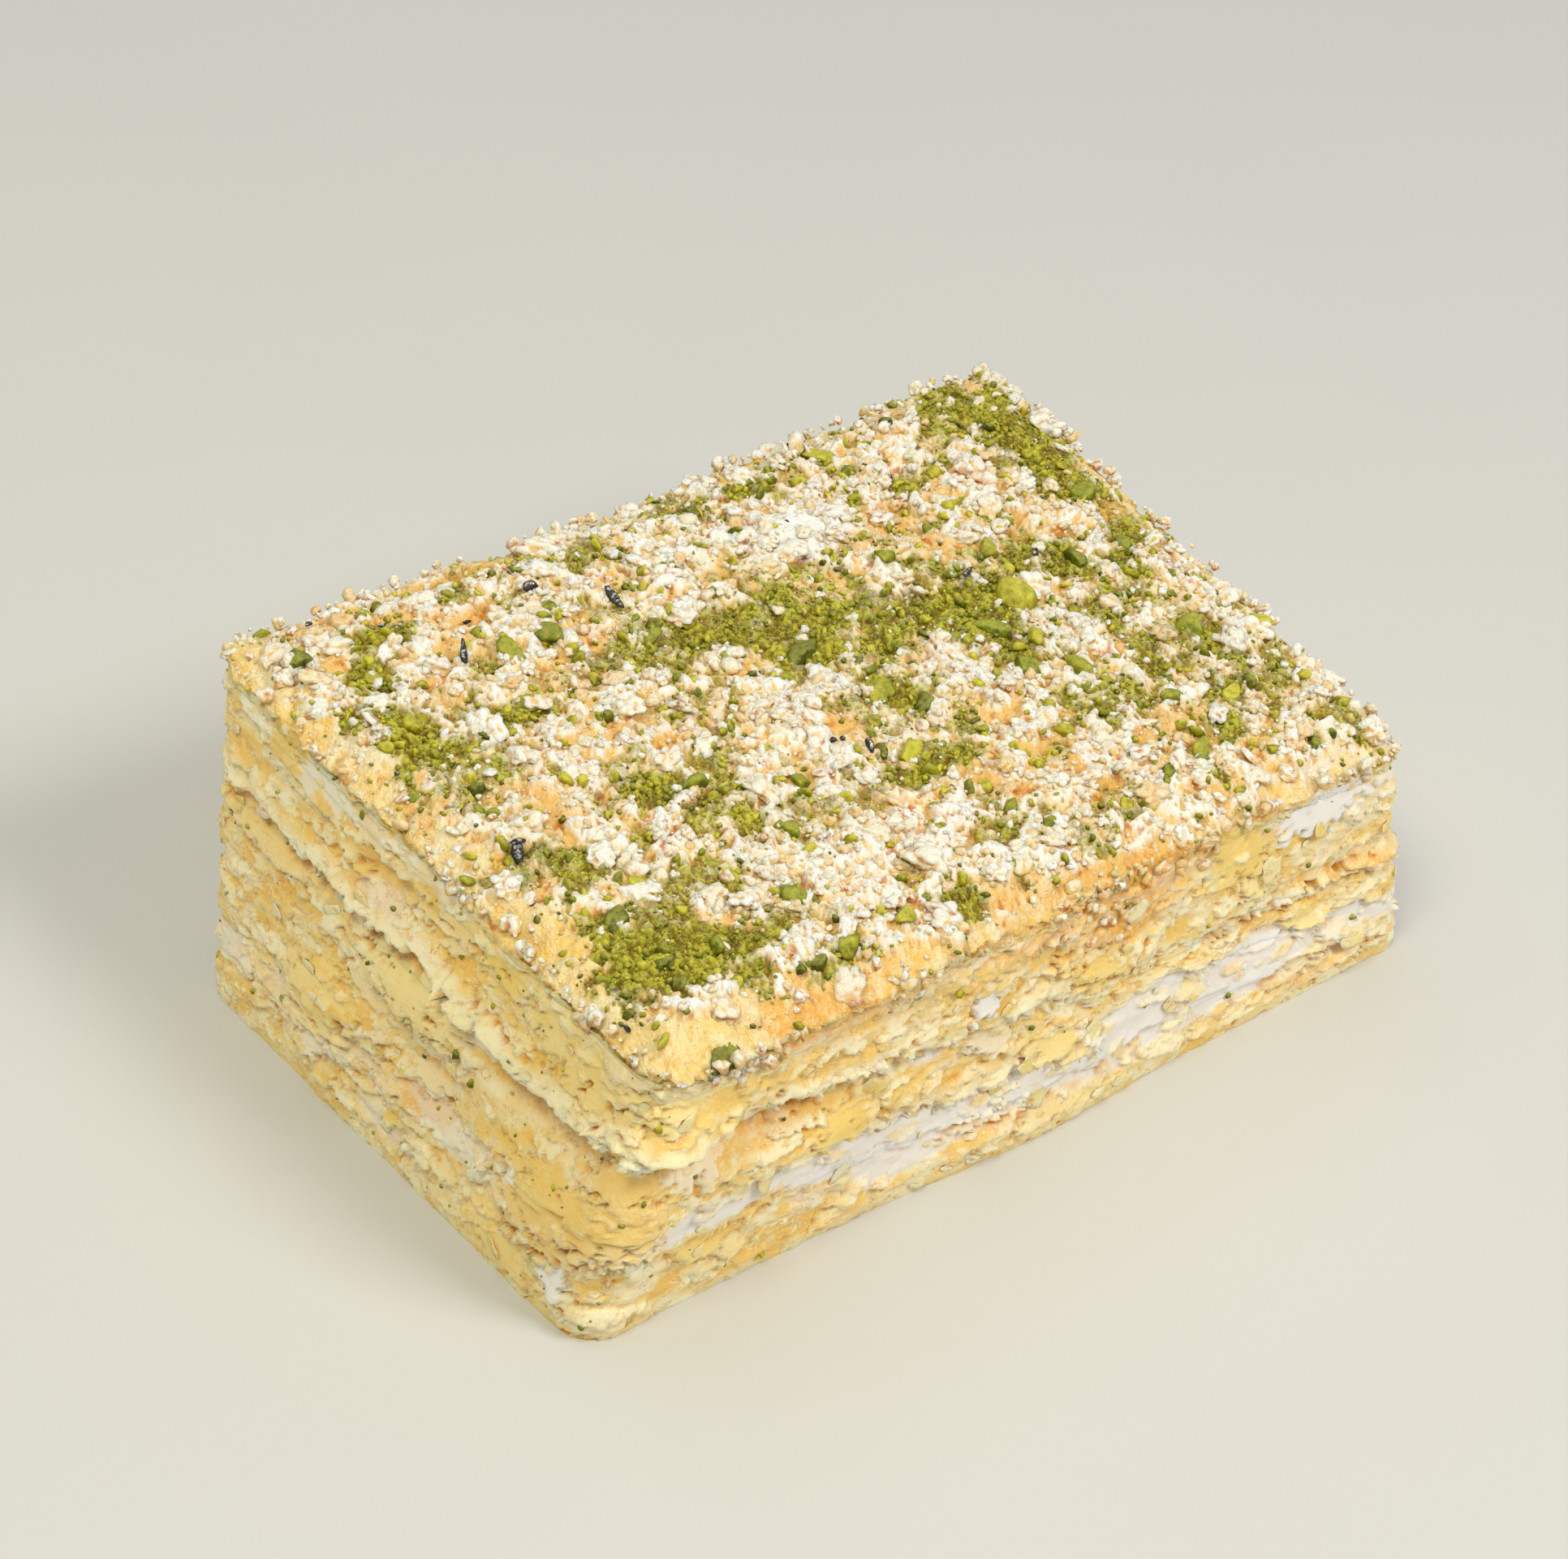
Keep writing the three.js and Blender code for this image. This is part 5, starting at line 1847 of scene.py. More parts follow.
@dataclass
class SideLeaves:
    """Thin curled leaves that stand out from the cut sides, and specks of nut stuck there."""

    form: SliceForm
    skin: SideSkin
    materials: Materials
    count: int = 130
    smallest: float = 0.5
    largest: float = 1.9
    thickness: float = 0.16
    spokes: int = 14
    rings: int = 3
    speck_count: int = 230
    seed: int = 4100

    def leaves(self) -> Piece:
        """All the standing leaves as one mesh.

        Returns:
            The piece's object.
        """
        draw = np.random.default_rng(self.seed)
        build = Build()
        along = draw.uniform(0, self.form.girth, self.count)
        x, y, out_x, out_y = self.form.outline(along)
        top = self.form.level(Boundary.COAT_TOP, x, y)
        z = 0.8 + draw.uniform(size=self.count) * (top - 1.2)
        places = self.skin.places(along, z)
        for index in range(self.count):
            sine, cosine = out_x[index], out_y[index]
            frame = np.array([(-cosine, sine, 0), (0, 0, 1), (sine, cosine, 0)])
            self.leaf(build, draw, places[index], frame, float(z[index]))
        return build.finished("side_leaves", self.materials["pastry"])

    def leaf(self, build: Build, draw: Draw, place: Array, frame: Array, z: float) -> None:
        """One leaf: a thin closed disc with a torn outline, curled and tipped off the side.

        Args:
            build: The mesh that it joins.
            draw: Source of the random draws.
            place: Where it is fixed.
            frame: Directions along, up and outward there.
            z: Height of the place.
        """
        half = lerp(self.smallest, self.largest, draw.uniform() ** 1.6)
        slim = draw.uniform(0.45, 0.8)
        turn, tip, lean = draw.normal((0, -0.12, 0), (0.5, 0.12, 0.12))
        bend = draw.uniform(-0.12, 0.3)
        spoke = np.arange(self.spokes) * 2 * math.pi / self.spokes
        torn = 1 + draw.uniform(-0.3, 0.22, self.spokes)
        share = (np.arange(self.rings) + 1) / self.rings
        radius = share[:, None] * lerp(1.0, torn[None, :], share[:, None])
        p = (half * radius * np.cos(spoke)).ravel()
        q = (half * slim * radius * np.sin(spoke)).ravel()
        p, q = np.append(p, 0.0), np.append(q, 0.0)
        lift = bend * q * q / max(half * slim, 0.1) + tip * q + lean * p + 0.12
        thick = self.thickness * np.append(np.repeat(1 - 0.55 * share**2, self.spokes), 1.0)
        a = p * math.cos(turn) - q * math.sin(turn)
        b = p * math.sin(turn) + q * math.cos(turn)
        b = np.maximum(b, 0.25 - z)
        # Pale rim round the leaf's outline: a painted highlight.
        rim = np.append(np.repeat(share**4, self.spokes), 0.0)
        masks = dict.fromkeys(("gap", "cream", "custard", "plain", "recess"), 0.0)
        masks |= {"toast": draw.uniform(0, 0.35), "tint": draw.uniform(), "edge": rim}
        sides = []
        for side in (1, -1):
            local = np.stack([a, b, lift + side * thick / 2], axis=1)
            sides.append(build.add(place + local @ frame, masks))
        for ids, down in zip(sides, (False, True)):
            grid = ids[:-1].reshape(self.rings, self.spokes)
            fan = np.stack([grid[0], np.full(self.spokes, ids[-1]), np.roll(grid[0], -1)], axis=1)
            build.add_faces(fan if down else fan[:, ::-1])
            build.quads(grid, closed=True, flip=not down)
        upper, lower = (ids[:-1].reshape(self.rings, self.spokes)[-1] for ids in sides)
        build.add_faces(np.stack([upper, lower, np.roll(lower, -1), np.roll(upper, -1)], axis=1))

    def specks(self) -> Piece:
        """Small green grains on the sides, most of them on the short left end.

        Returns:
            The piece's object.
        """
        draw = np.random.default_rng(self.seed + 1)
        form = self.form
        left = form.spans[:6].sum() + draw.uniform(-4, form.spans[6] + 4, self.speck_count)
        anywhere = draw.uniform(0, form.girth, self.speck_count)
        along = np.where(draw.uniform(size=self.speck_count) < 0.55, left, anywhere)
        x, y, _, _ = form.outline(along)
        top = form.level(Boundary.CRUST, x, y)
        z = 0.6 + draw.uniform(size=len(along)) ** 0.7 * (top - 1.5)
        places = self.skin.places(along, z)
        radius = 0.15 + 0.5 * draw.uniform(size=len(along)) ** 2.5
        sizes = radius[:, None] * draw.uniform(0.6, 1.4, (len(along), 3))
        turns = turned(*draw.uniform(0, 2 * math.pi, (3, len(along))))
        shade = np.clip(draw.normal(0.55, 0.25, len(along)), 0, 1)
        masks = {"shade": shade, "tint": draw.uniform(size=len(along))}
        shape = LumpShape(1, 10, 4, 6, 0.7, 0.08, 2800)
        return Lumps(places, sizes, turns, masks).joined("side_specks", shape, self.materials["nuts"])

    def build(self) -> list[Piece]:
        """Makes and dresses the leaves and the specks."""
        return [dressed(self.leaves(), "pastry"), dressed(self.specks(), "nuts")]


Socket = bpy.types.NodeSocket
Node = bpy.types.Node
Colour = tuple[float, float, float]
EVEN = (1, 1, 1)
# Sockets of a node that mixes colours: its share, its two colours and its result.
MIX_SHARE, MIX_FIRST, MIX_SECOND, MIX_RESULT = 0, 6, 7, 2


def linear(colour: Colour) -> tuple[float, float, float, float]:
    """Scene-linear colour of a display colour given from 0 to 255."""
    shares = [c / 255 for c in colour]
    return (*[s / 12.92 if s <= 0.04045 else ((s + 0.055) / 1.055) ** 2.4 for s in shares], 1.0)


@dataclass(frozen=True)
class Signal:
    """A value that flows between shader nodes. Plain arithmetic on it adds the nodes for it."""

    sheet: "Sheet"
    socket: Socket

    def __add__(self, other: object) -> "Signal":
        """Sum of this and another value."""
        return self.sheet.math("ADD", self, other)

    def __mul__(self, other: object) -> "Signal":
        """Product of this and another value."""
        return self.sheet.math("MULTIPLY", self, other)

    def __sub__(self, other: object) -> "Signal":
        """This less another value."""
        return self.sheet.math("SUBTRACT", self, other)

    def __rsub__(self, other: float) -> "Signal":
        """A plain value less this."""
        return self.sheet.math("SUBTRACT", other, self)

    def most(self, other: "Signal") -> "Signal":
        """The larger of this and another value."""
        return self.sheet.math("MAXIMUM", self, other)

    def step(self, low: float, high: float) -> "Signal":
        """Smooth step from 0 where this is low to 1 where it is high."""
        ends = {"Value": self, "From Min": low, "From Max": high}
        return self.sheet.signal("ShaderNodeMapRange", 0, ends, interpolation_type="SMOOTHSTEP")


class Sheet:
    """Places nodes in a shader tree and joins their sockets."""

    def __init__(self, tree: bpy.types.NodeTree) -> None:
        """Works on the nodes of one tree."""
        self.tree = tree

    def feed(self, entry: Socket, value: object) -> None:
        """Joins a signal to an entry, or sets it to a plain value or a display colour.

        Args:
            entry: The input.
            value: What it gets.
        """
        if isinstance(value, Signal):
            self.tree.links.new(value.socket, entry)
        else:
            entry.default_value = linear(value) if entry.type == "RGBA" else value

    def node(self, kind: str, inputs: dict | None = None, **settings: object) -> Node:
        """A new node, with its settings and its inputs by name or number.

        Args:
            kind: Type of the node.
            inputs: What its inputs get.
            **settings: Its properties.

        Returns:
            The node.
        """
        made = self.tree.nodes.new(kind)
        for key, value in settings.items():
            setattr(made, key, value)
        for key, value in (inputs or {}).items():
            self.feed(made.inputs[key], value)
        return made

    def signal(self, kind: str, output: object, inputs: dict | None = None, **settings: object) -> Signal:
        """One output of a new node, by name or number."""
        return Signal(self, self.node(kind, inputs, **settings).outputs[output])

    def mask(self, name: str) -> Signal:
        """A mask of the mesh."""
        return self.signal("ShaderNodeAttribute", "Fac", attribute_name=name)

    def mix(self, share: object, first: object, second: object) -> Signal:
        """Blend of two colours."""
        inputs = {MIX_SHARE: share, MIX_FIRST: first, MIX_SECOND: second}
        return self.signal("ShaderNodeMix", MIX_RESULT, inputs, data_type="RGBA")

    def math(self, operation: str, first: object, second: object = 0.0) -> Signal:
        """One arithmetic step."""
        return self.signal("ShaderNodeMath", 0, {0: first, 1: second}, operation=operation)

    def texture(self, kind: str, output: str, size: float, stretch: tuple = EVEN, **more: float) -> Signal:
        """A texture whose marks are about size millimetres across.

        Args:
            kind: Type of the texture node.
            output: Which of its outputs.
            size: Size of the marks.
            stretch: Scale along X, Y and Z.
            **more: Its other inputs.

        Returns:
            The signal.
        """
        place = self.signal("ShaderNodeTexCoord", "Object")
        if stretch != EVEN:
            place = self.signal("ShaderNodeMapping", 0, {"Vector": place, "Scale": stretch})
        return self.signal(kind, output, {"Vector": place, "Scale": 1 / (size * MM), **more})

    def grain(self, size: float, detail: float = 3.0, rough: float = 0.6, stretch: tuple = EVEN) -> Signal:
        """Noise between 0 and 1."""
        return self.texture("ShaderNodeTexNoise", "Fac", size, stretch, Detail=detail, Roughness=rough)

    def pits(self, size: float) -> Signal:
        """Distance to scattered points, from 0 to about 1."""
        return self.texture("ShaderNodeTexVoronoi", "Distance", size)


class Effect:
    """A shader node group that several finishes share."""

    def __init__(self, name: str, inputs: dict[str, object], outputs: tuple[str, ...]) -> None:
        """Makes the group with its sockets.

        Args:
            name: The group's name.
            inputs: Its inputs, each a number or a display colour.
            outputs: The names of its outputs.
        """
        self.tree = bpy.data.node_groups.new(name, "ShaderNodeTree")
        for key, value in inputs.items():
            plain = isinstance(value, float)
            kind = "NodeSocketFloat" if plain else "NodeSocketColor"
            entry = self.tree.interface.new_socket(key, in_out="INPUT", socket_type=kind)
            entry.default_value = value if plain else linear(value)
        for key in outputs:
            kind = "NodeSocketColor" if key == "Color" else "NodeSocketFloat"
            self.tree.interface.new_socket(key, in_out="OUTPUT", socket_type=kind)
        self.sheet = Sheet(self.tree)
        self.entry = self.tree.nodes.new("NodeGroupInput")
        self.exit = self.tree.nodes.new("NodeGroupOutput")

    def __getitem__(self, name: str) -> Signal:
        """An input of the group, seen from inside."""
        return Signal(self.sheet, self.entry.outputs[name])

    def give(self, name: str, value: Signal) -> None:
        """Sets an output of the group."""
        self.sheet.feed(self.exit.inputs[name], value)

    def place(self, sheet: Sheet, **inputs: object) -> dict[str, Signal]:
        """Outputs of the group as a node in a material, with its own values.

        Args:
            sheet: The material's nodes.
            **inputs: Values of its inputs.

        Returns:
            The outputs by name.
        """
        named = {key.replace("_", " "): value for key, value in inputs.items()}
        made = sheet.node("ShaderNodeGroup", named, node_tree=self.tree)
        return {output.name: Signal(sheet, output) for output in made.outputs}


@dataclass(frozen=True)
class Palette:
    """Display colours of the slice, from 0 to 255."""

    leaf_pale: Colour = (248, 235, 196)
    leaf_yellow: Colour = (242, 205, 116)
    toasted: Colour = (240, 180, 84)
    # Painted shade in the sides' creases and hollows: dark brown in the deepest, golden brown in the rest.
    dark_crevice_shade: Colour = (158, 92, 24)
    crevice_shade: Colour = (216, 138, 50)
    cream: Colour = (241, 237, 234)
    custard: Colour = (246, 216, 126)
    sugar: Colour = (253, 252, 249)
    crumb: Colour = (250, 230, 184)
    tan: Colour = (242, 198, 118)
    golden: Colour = (236, 186, 100)
    # Painted shade in the crumbs' crevices: brown patches among the tan, and dark olive in the deepest
    # green ones.
    brown_crevice_shade: Colour = (204, 122, 48)
    deep: Colour = (84, 70, 6)
    powder_green: Colour = (202, 197, 64)
    # Painted shade in the crevices of the green powder.
    powder_shade: Colour = (130, 106, 18)
    powder_dark: Colour = (72, 64, 4)
    nut_dark: Colour = (64, 70, 8)
    nut_green: Colour = (112, 126, 20)
    nut_olive: Colour = (158, 152, 30)
    nut_pale: Colour = (202, 194, 52)
    nut_dust: Colour = (214, 208, 112)
    # Painted shade low on the nut bits and in their creases.
    nut_crease_shade: Colour = (90, 74, 8)
    husk_dark: Colour = (26, 24, 26)
    husk_pale: Colour = (66, 54, 44)
    floor: Colour = (206, 206, 204)
    floor_dark: Colour = (203, 203, 201)


PALETTE = Palette()


def fine_grain() -> Effect:
    """Crumbly grain: a mottle for the colour and a height for the bump.

    Returns:
        The node group.
    """
    effect = Effect("fine grain", {"Coarse": 0.5, "Fine": 0.5}, ("Mottle", "Height"))
    coarse = effect.sheet.grain(1.1, 4.0, 0.62)
    fine = effect.sheet.grain(0.32, 3.0, 0.65)
    bumps = (1.0 - effect.sheet.pits(0.45)) * effect["Fine"]
    effect.give("Mottle", (coarse * 0.6 + fine * 0.4).step(0.36, 0.64))
    effect.give("Height", coarse * effect["Coarse"] + fine * effect["Fine"] + bumps * 0.5)
    return effect


def sugar_dust() -> Effect:
    """Powdered sugar that lies on what faces up, broken by grain.

    Returns:
        The node group.
    """
    inputs = {"Base": PALETTE.crumb, "Sugar": PALETTE.sugar, "Amount": 0.5, "Cover": 0.5}
    effect = Effect("sugar dust", inputs, ("Color", "Share"))
    sheet = effect.sheet
    normal = sheet.signal("ShaderNodeNewGeometry", "Normal")
    up = sheet.signal("ShaderNodeSeparateXYZ", "Z", {0: normal})
    lie = up * 0.45 + sheet.grain(0.55, 4.0, 0.7) * 1.1 + (effect["Cover"] - 0.9)
    share = lie.step(0.0, 0.32) * effect["Amount"]
    effect.give("Color", sheet.mix(share, effect["Base"], effect["Sugar"]))
    effect.give("Share", share)
    return effect


def thin_leaves() -> Effect:
    """Thin leaves that overlap like scales: painted shade in the cracks below their edges, painted
    highlights on their rims, and their steps.

    Returns:
        The node group.
    """
    effect = Effect("thin leaves", {"Levels": 5.0}, ("Crack Shade", "Rim Highlight", "Height"))
    sheet = effect.sheet
    level = sheet.grain(3.0, 4.0, 0.52, (1, 1, 2)) * effect["Levels"]
    part = sheet.math("FRACT", level)
    some = sheet.grain(2.4, 2.0).step(0.38, 0.58)
    effect.give("Crack Shade", part.step(0.78, 0.96) * some)
    effect.give("Rim Highlight", part.step(0.35, 0.05) * some)
    effect.give("Height", sheet.math("FLOOR", level) + part * 0.3)
    return effect


def layer_colour() -> Effect:
    """Colour of the cut sides: leaves, toasted zones, cream, custard, painted shade in the deep gaps and
    cracks, and painted highlights on leaf rims.

    Returns:
        The node group.
    """
    masks = (*(name.capitalize() for name in SIDE_MASKS), "Mottle", "Crack Shade", "Rim Highlight")
    colours = {
        "Pale": PALETTE.leaf_pale, "Yellow": PALETTE.leaf_yellow, "Toasted": PALETTE.toasted,
        "Dark Crevice Shade": PALETTE.dark_crevice_shade, "Crevice Shade": PALETTE.crevice_shade, "Cream Colour": PALETTE.cream,
        "Custard Colour": PALETTE.custard,
    }
    effect = Effect("layer colour", {**dict.fromkeys(masks, 0.0), **colours}, ("Color",))
    sheet = effect.sheet
    tint = effect["Tint"] * 0.6 + sheet.grain(3.2, 4.0, 0.65) * 0.55
    flaky = (1.0 - effect["Plain"].most(effect["Cream"])) * 0.4 + 0.14
    gap = effect["Gap"] * (1.0 - effect["Cream"] * 0.6)
    coats = (
        (tint.step(0.65, 1.0) * 0.36, "Toasted"),
        ((effect["Toast"] * (effect["Mottle"] + 1.2)).step(0.2, 2.0), "Toasted"),
        # Painted highlight on leaf rims.
        (effect["Edge"] * 0.55, "Pale"),
        (effect["Custard"] * 0.6, "Custard Colour"),
        (effect["Cream"], "Cream Colour"),
        # Painted shade in the large hollows, in the toasted colour.
        (effect["Recess"] * 0.35, "Toasted"),
        # Painted highlight on the thin leaves' rims, and painted shade in the cracks below them.
        (effect["Rim Highlight"] * flaky, "Pale"),
        (effect["Crack Shade"] * flaky, "Crevice Shade"),
        # Painted shade in creases and hollows, darkest in the deepest.
        (gap.step(0.05, 0.8) * 0.8, "Crevice Shade"),
        (gap.step(0.5, 1.1) * (effect["Mottle"] + 0.3) * 0.5, "Dark Crevice Shade"),
    )
    colour = sheet.mix(tint.step(0.25, 0.85), effect["Pale"], effect["Yellow"])
    for share, name in coats:
        colour = sheet.mix(share, colour, effect[name])
    effect.give("Color", colour)
    return effect


@dataclass
class Effects:
    """The node groups that the finishes share, each made once."""

    grain: Effect = field(default_factory=fine_grain)
    dust: Effect = field(default_factory=sugar_dust)
    layers: Effect = field(default_factory=layer_colour)
    leaves: Effect = field(default_factory=thin_leaves)


@dataclass(frozen=True)
class Finish:
    """What each finish has: its roughness, how far light soaks in, its relief's depth and its shine."""

    effects: Effects
    name: str
    rough: float
    soft: float
    depth: float = 0.0
    shine: float = 0.35
    soak_colour: tuple = (1.0, 0.62, 0.32)
    soak_depth: float = 0.9

    def start(self) -> tuple[Material, Sheet, Node]:
        """A new material with its shader.

        Returns:
            The material, a sheet for its nodes, and its shader.
        """
        made = bpy.data.materials.new(self.name)
        made.use_nodes = True
        shader = next(n for n in made.node_tree.nodes if n.type == "BSDF_PRINCIPLED")
        values = {
            "Roughness": self.rough,
            "Specular IOR Level": self.shine,
            "Subsurface Weight": self.soft,
            "Subsurface Radius": self.soak_colour,
            "Subsurface Scale": self.soak_depth * MM,
        }
        for key, value in values.items():
            shader.inputs[key].default_value = value
        return made, Sheet(made.node_tree), shader

    def cover(self, sheet: Sheet, shader: Node, colour: Signal, height: Signal) -> None:
        """Gives a shader its colour and its fine relief.

        Args:
            sheet: The material's nodes.
            shader: Its shader.
            colour: The surface's colour.
            height: The relief's height, 1 where it is as high as the finish's depth.
        """
        relief = {"Height": height, "Strength": 1.0, "Distance": self.depth * MM}
        sheet.feed(shader.inputs["Base Color"], colour)
        sheet.feed(shader.inputs["Normal"], sheet.signal("ShaderNodeBump", "Normal", relief))

    def cut_colour(self, sheet: Sheet, mottle: Signal, leaves: dict, **colours: Colour) -> Signal:
        """Colour of the cut side from its masks.

        Args:
            sheet: The material's nodes.
            mottle: Fine mottle.
            leaves: Outputs of the thin leaves.
            **colours: What replaces the shared colours.

        Returns:
            The colour.
        """
        masks = {name.capitalize(): sheet.mask(name) for name in SIDE_MASKS}
        masks |= {"Mottle": mottle, "Crack Shade": leaves["Crack Shade"], "Rim Highlight": leaves["Rim Highlight"]}
        return self.effects.layers.place(sheet, **masks, **colours)["Color"]


@dataclass(frozen=True)
class CutFinish(Finish):
    """Cut puff pastry, or cream with leaves and crumbs stuck to it."""

    colours: dict[str, Colour] = field(default_factory=dict)

    def make(self) -> Material:
        """The finish as a material.

        Returns:
            The material.
        """
        made, sheet, shader = self.start()
        grain = self.effects.grain.place(sheet, Coarse=0.5, Fine=0.6)
        leaves = self.effects.leaves.place(sheet)
        colour = self.cut_colour(sheet, grain["Mottle"], leaves, **self.colours)
        creamy = sheet.mask("cream")
        steps = leaves["Height"] * 0.5 * (1.0 - sheet.mask("plain").most(creamy))
        self.cover(sheet, shader, colour, (grain["Height"] + steps) * (1.0 - creamy * 0.8))
        sheet.feed(shader.inputs["Roughness"], creamy * -0.3 + self.rough)
        return made


@dataclass(frozen=True)
class CrumbFinish(Finish):
    """Sugared crumbs, or their bed, which turns to cut pastry where its mesh is bare of crumbs."""

    sugar_cover: float = 0.62
    edged: bool = False

    def make(self) -> Material:
        """The finish as a material.

        Returns:
            The material.
        """
        made, sheet, shader = self.start()
        effects = self.effects
        grain = effects.grain.place(sheet, Coarse=0.7, Fine=0.9)
        mottle, nutty = grain["Mottle"], sheet.mask("nut")
        specks = sheet.grain(0.5, 3.0, 0.7).step(0.4, 0.56) * 0.55
        specks = specks + sheet.grain(2.4, 2.0).step(0.36, 0.62) * 0.45
        green = sheet.mix(specks, PALETTE.powder_dark, PALETTE.powder_green)
        base = sheet.mix(sheet.mask("tint"), PALETTE.crumb, PALETTE.tan)
        base = sheet.mix((sheet.mask("toast") * (mottle + 0.6)).step(0.1, 0.9), base, PALETTE.golden)
        base = sheet.mix((nutty * (mottle + 0.5)).step(0.15, 0.8), base, green)
        fleck = sheet.grain(0.9, 3.0, 0.65).step(0.52, 0.66) * 0.28
        amount = sheet.mask("sugar") * (0.97 - fleck)
        dusted = effects.dust.place(sheet, Base=base, Amount=amount, Cover=self.sugar_cover)
        # Painted shade: crevices and the low sides of crumbs take tan, brown or dark olive.
        gap = sheet.mask("gap") * (mottle + 0.5) + mottle.step(0.45, 0.1) * 0.18
        crevice_shade = sheet.mix(sheet.grain(2.6, 2.0).step(0.5, 0.64), PALETTE.tan, PALETTE.brown_crevice_shade)
        crevice_shade = sheet.mix(nutty, crevice_shade, PALETTE.powder_shade)
        colour = sheet.mix(gap.step(0.1, 1.0) * 0.85, dusted["Color"], crevice_shade)
        colour = sheet.mix(gap.step(0.8, 1.35) * 0.7 * nutty, colour, PALETTE.deep)
        if self.edged:
            bare = self.cut_colour(sheet, mottle, effects.leaves.place(sheet))
            colour = sheet.mix(sheet.mask("bare"), colour, bare)
        self.cover(sheet, shader, colour, grain["Height"])
        return made


@dataclass(frozen=True)
class NutFinish(Finish):
    """Green nut, from dark skin to pale flesh, with a little dust."""

    def make(self) -> Material:
        """The finish as a material.

        Returns:
            The material.
        """
        made, sheet, shader = self.start()
        grain = self.effects.grain.place(sheet, Coarse=0.35, Fine=0.3)
        shade = sheet.mask("shade") + (sheet.grain(0.9, 4.0, 0.65) - 0.5) * 1.6
        ramp = sheet.node("ShaderNodeValToRGB", {"Fac": shade})
        elements = ramp.color_ramp.elements
        elements[0].color, elements[1].color = linear(PALETTE.nut_dark), linear(PALETTE.nut_pale)
        for position, colour in ((0.35, PALETTE.nut_green), (0.62, PALETTE.nut_olive)):
            elements.new(position).color = linear(colour)
        dust = {"Base": Signal(sheet, ramp.outputs["Color"]), "Sugar": PALETTE.nut_dust}
        dusted = self.effects.dust.place(sheet, **dust, Amount=0.3, Cover=0.2)
        # Painted shade low on each nut bit and in its creases.
        colour = sheet.mix(sheet.mask("gap") * 0.6, dusted["Color"], PALETTE.nut_crease_shade)
        sheet.feed(shader.inputs["Roughness"], dusted["Share"] * 0.4 + 0.45)
        self.cover(sheet, shader, colour, grain["Height"])
        return made


@dataclass(frozen=True)
class HuskFinish(Finish):
    """Dark husk with a dusty bloom."""

    def make(self) -> Material:
        """The finish as a material.

        Returns:
            The material.
        """
        made, sheet, shader = self.start()
        grain = self.effects.grain.place(sheet, Coarse=0.5, Fine=0.5)
        base = sheet.mix(grain["Mottle"], PALETTE.husk_dark, PALETTE.husk_pale)
        dusted = self.effects.dust.place(sheet, Base=base, Amount=0.9, Cover=-0.02)
        self.cover(sheet, shader, dusted["Color"], grain["Height"])
        return made


@dataclass(frozen=True)
class FloorFinish(Finish):
    """Plain pale studio floor."""

    def make(self) -> Material:
        """The finish as a material.

        Returns:
            The material.
        """
        made, sheet, shader = self.start()
        shade = sheet.mix(sheet.grain(60.0, 2.0), PALETTE.floor_dark, PALETTE.floor)
        sheet.feed(shader.inputs["Base Color"], shade)
        return made


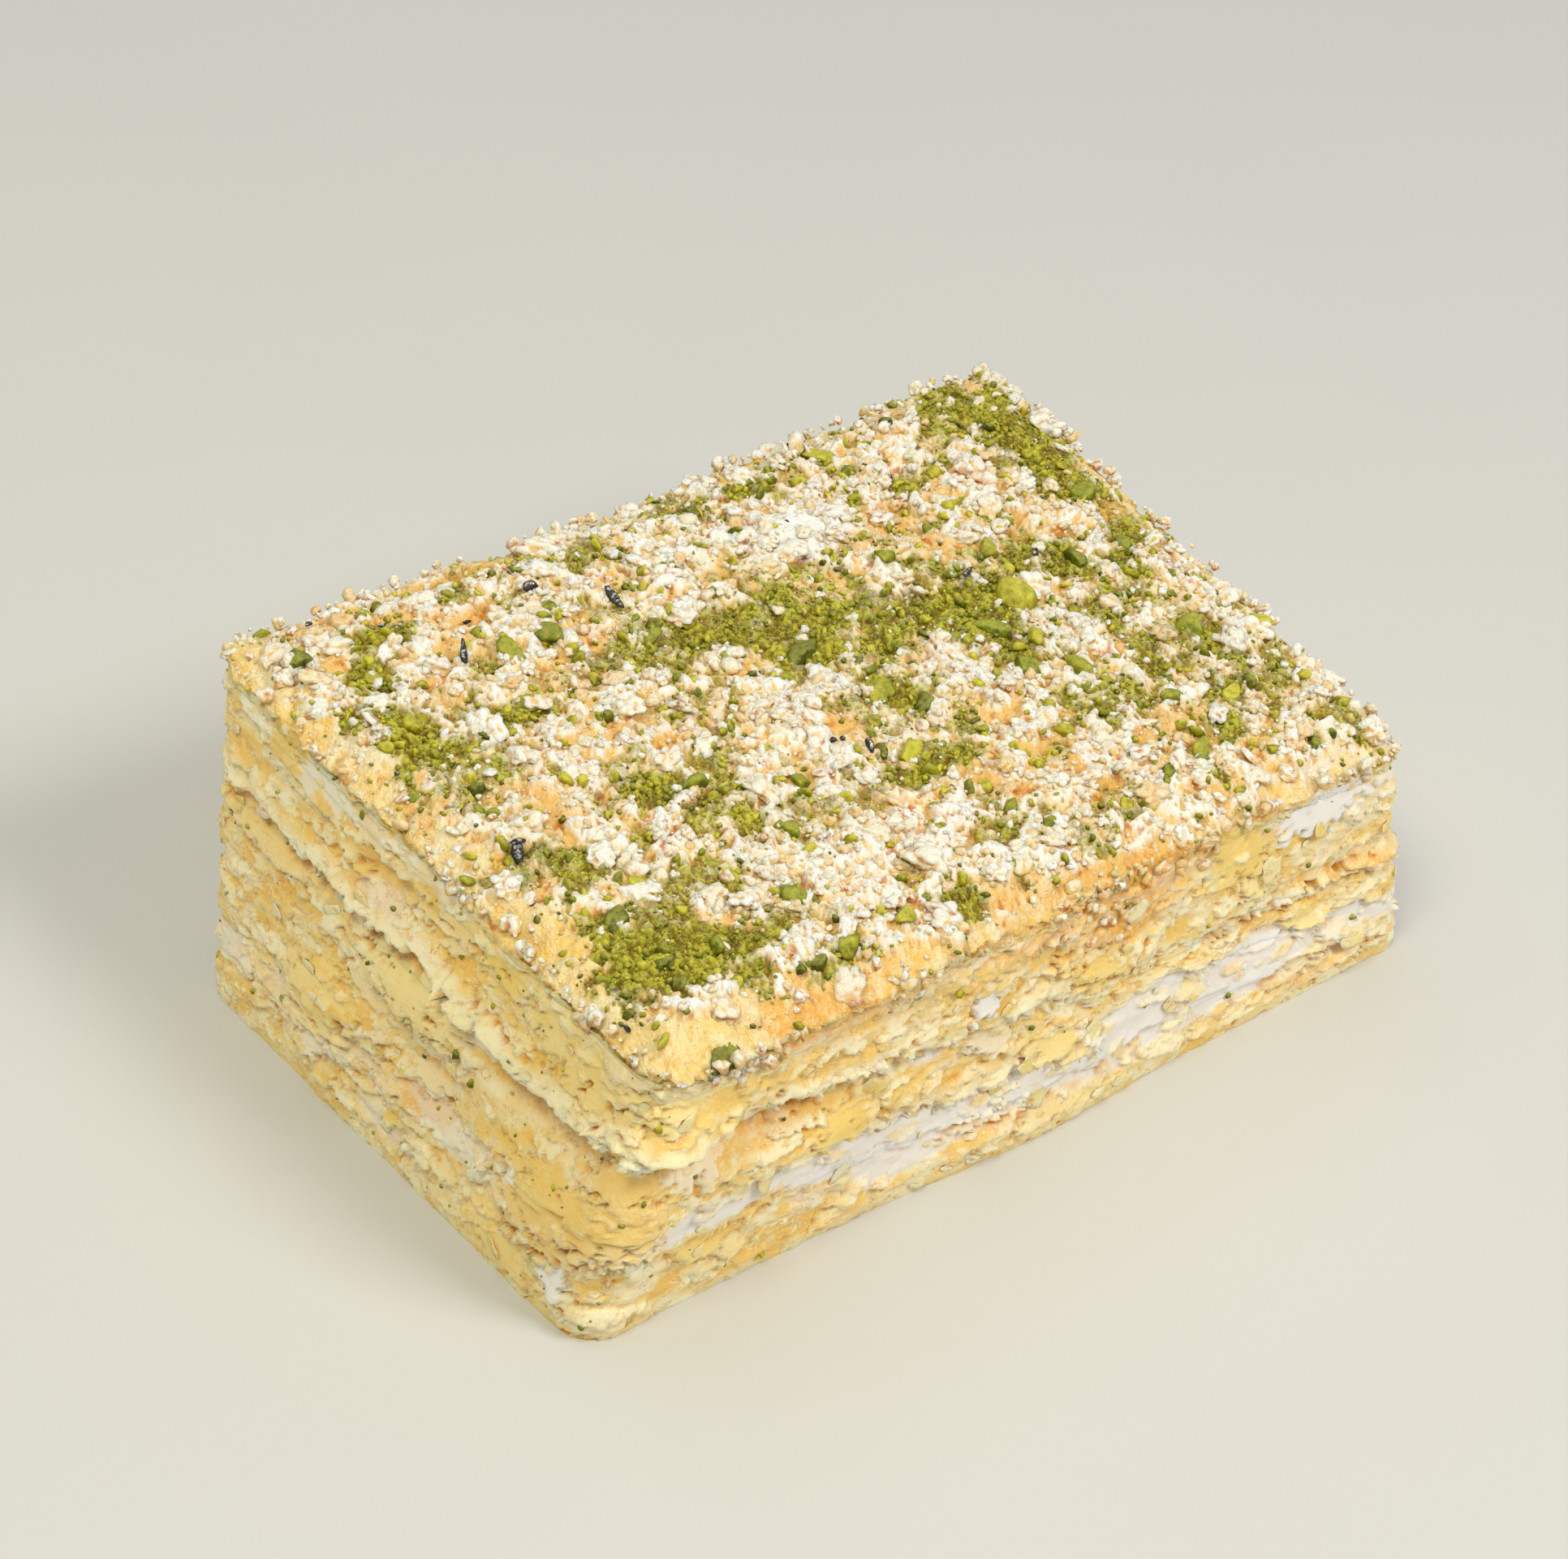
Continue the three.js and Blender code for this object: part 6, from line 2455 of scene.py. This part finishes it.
@dataclass(frozen=True)
class Studio:
    """Camera, floor and soft light. The camera's places come from the photograph's perspective."""

    eye: tuple = (-0.23883, -0.23914, 0.27872)
    right: tuple = (0.76232, -0.64055, 0.09256)
    up: tuple = (0.33373, 0.51159, 0.79177)
    back: tuple = (-0.55452, -0.57269, 0.60377)
    focal_pixels: float = 5000.0
    frame_pixels: float = 1932.0
    sensor: float = 36.0
    floor_size: float = 6.0
    nearest: float = 0.01
    farthest: float = 20.0
    sky: float = 0.36
    sky_colour: tuple = (1.0, 0.99, 0.97, 1.0)
    aim: tuple = (0.0, 0.0, 0.02)
    lamps: tuple = (
        ("key", (0.25, -0.65, 0.75), 0.3, 5.2, (1.0, 0.975, 0.94)),
        ("over", (-0.1, 0.25, 0.95), 0.8, 2.1, (1.0, 0.985, 0.975)),
        ("fill", (-0.5, -0.2, 0.85), 0.25, 3.7, (1.0, 0.98, 0.68)),
    )

    def build(self, material: Material) -> None:
        """The camera, the floor and the light.

        Args:
            material: The floor's finish.
        """
        self.camera()
        self.floor(material)
        self.light()

    def camera(self) -> None:
        """The camera at the photograph's angle."""
        data = bpy.data.cameras.new("camera")
        data.sensor_width = self.sensor
        data.lens = self.focal_pixels / self.frame_pixels * self.sensor
        data.clip_start, data.clip_end = self.nearest, self.farthest
        camera = bpy.data.objects.new("camera", data)
        turn = Matrix((self.right, self.up, self.back)).transposed().to_4x4()
        camera.matrix_world = Matrix.Translation(self.eye) @ turn
        bpy.context.scene.collection.objects.link(camera)
        bpy.context.scene.camera = camera

    def floor(self, material: Material) -> None:
        """A wide flat floor under the slice.

        Args:
            material: Its finish.
        """
        half = self.floor_size / 2
        mesh = bpy.data.meshes.new("floor")
        corners = [(-half, -half, 0), (half, -half, 0), (half, half, 0), (-half, half, 0)]
        mesh.from_pydata(corners, [], [(0, 1, 2, 3)])
        mesh.materials.append(material)
        floor = bpy.data.objects.new("floor", mesh)
        bpy.context.scene.collection.objects.link(floor)

    def light(self) -> None:
        """Soft light from above and the right, a weak fill from the left, and a pale sky."""
        scene = bpy.context.scene
        world = bpy.data.worlds.new("sky")
        world.use_nodes = True
        ground = world.node_tree.nodes["Background"]
        ground.inputs["Color"].default_value = self.sky_colour
        ground.inputs["Strength"].default_value = self.sky
        scene.world = world
        for name, place, size, power, colour in self.lamps:
            data = bpy.data.lights.new(name, "AREA")
            data.size, data.energy, data.color = size, power, colour
            lamp = bpy.data.objects.new(name, data)
            lamp.location = place
            aim = Vector(self.aim) - lamp.location
            lamp.rotation_euler = aim.to_track_quat("-Z", "Y").to_euler()
            scene.collection.objects.link(lamp)
        scene.view_settings.view_transform = "Standard"


def main() -> None:
    """Builds and dresses the slice and the studio, and reports each piece."""
    logging.basicConfig(level=logging.INFO, format="%(name)s: %(message)s")
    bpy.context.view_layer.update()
    effects = Effects()
    # The cream's painted shade in crevices is paler than the pastry's.
    cream = {"Pale": (248, 239, 212), "Crevice Shade": (214, 168, 94)}
    finishes = {
        "floor": FloorFinish(effects, "pale floor", rough=0.7, soft=0.0),
        "pastry": CutFinish(effects, "flaky pastry", rough=0.8, soft=0.45, depth=0.14),
        "cream": CutFinish(effects, "layer cream", rough=0.7, soft=0.4, depth=0.1, colours=cream),
        "crumbs": CrumbFinish(effects, "sugared crumbs", rough=0.88, soft=0.5, depth=0.38),
        "bed": CrumbFinish(effects, "crumb bed", 0.88, 0.5, 0.38, sugar_cover=0.4, edged=True),
        "nuts": NutFinish(effects, "green nut", rough=0.5, soft=0.1, depth=0.3, shine=0.2),
        "husk": HuskFinish(effects, "dark husk", rough=0.6, soft=0.0, depth=0.1),
    }
    materials = {name: finish.make() for name, finish in finishes.items()}
    Studio().build(materials["floor"])
    form = SliceForm()
    skin = SideSkin(form)
    skin.paint()
    crust = CrumbCrust(form, skin, materials)
    crust.paint()
    layers, leaves = CutLayers(form, skin, materials), SideLeaves(form, skin, materials)
    for assembly in (layers, crust, Topping(crust, materials), leaves):
        for piece in assembly.build():
            LOG.info("%s: %d faces", piece.name, len(piece.data.polygons))


if __name__ == "__main__":
    main()
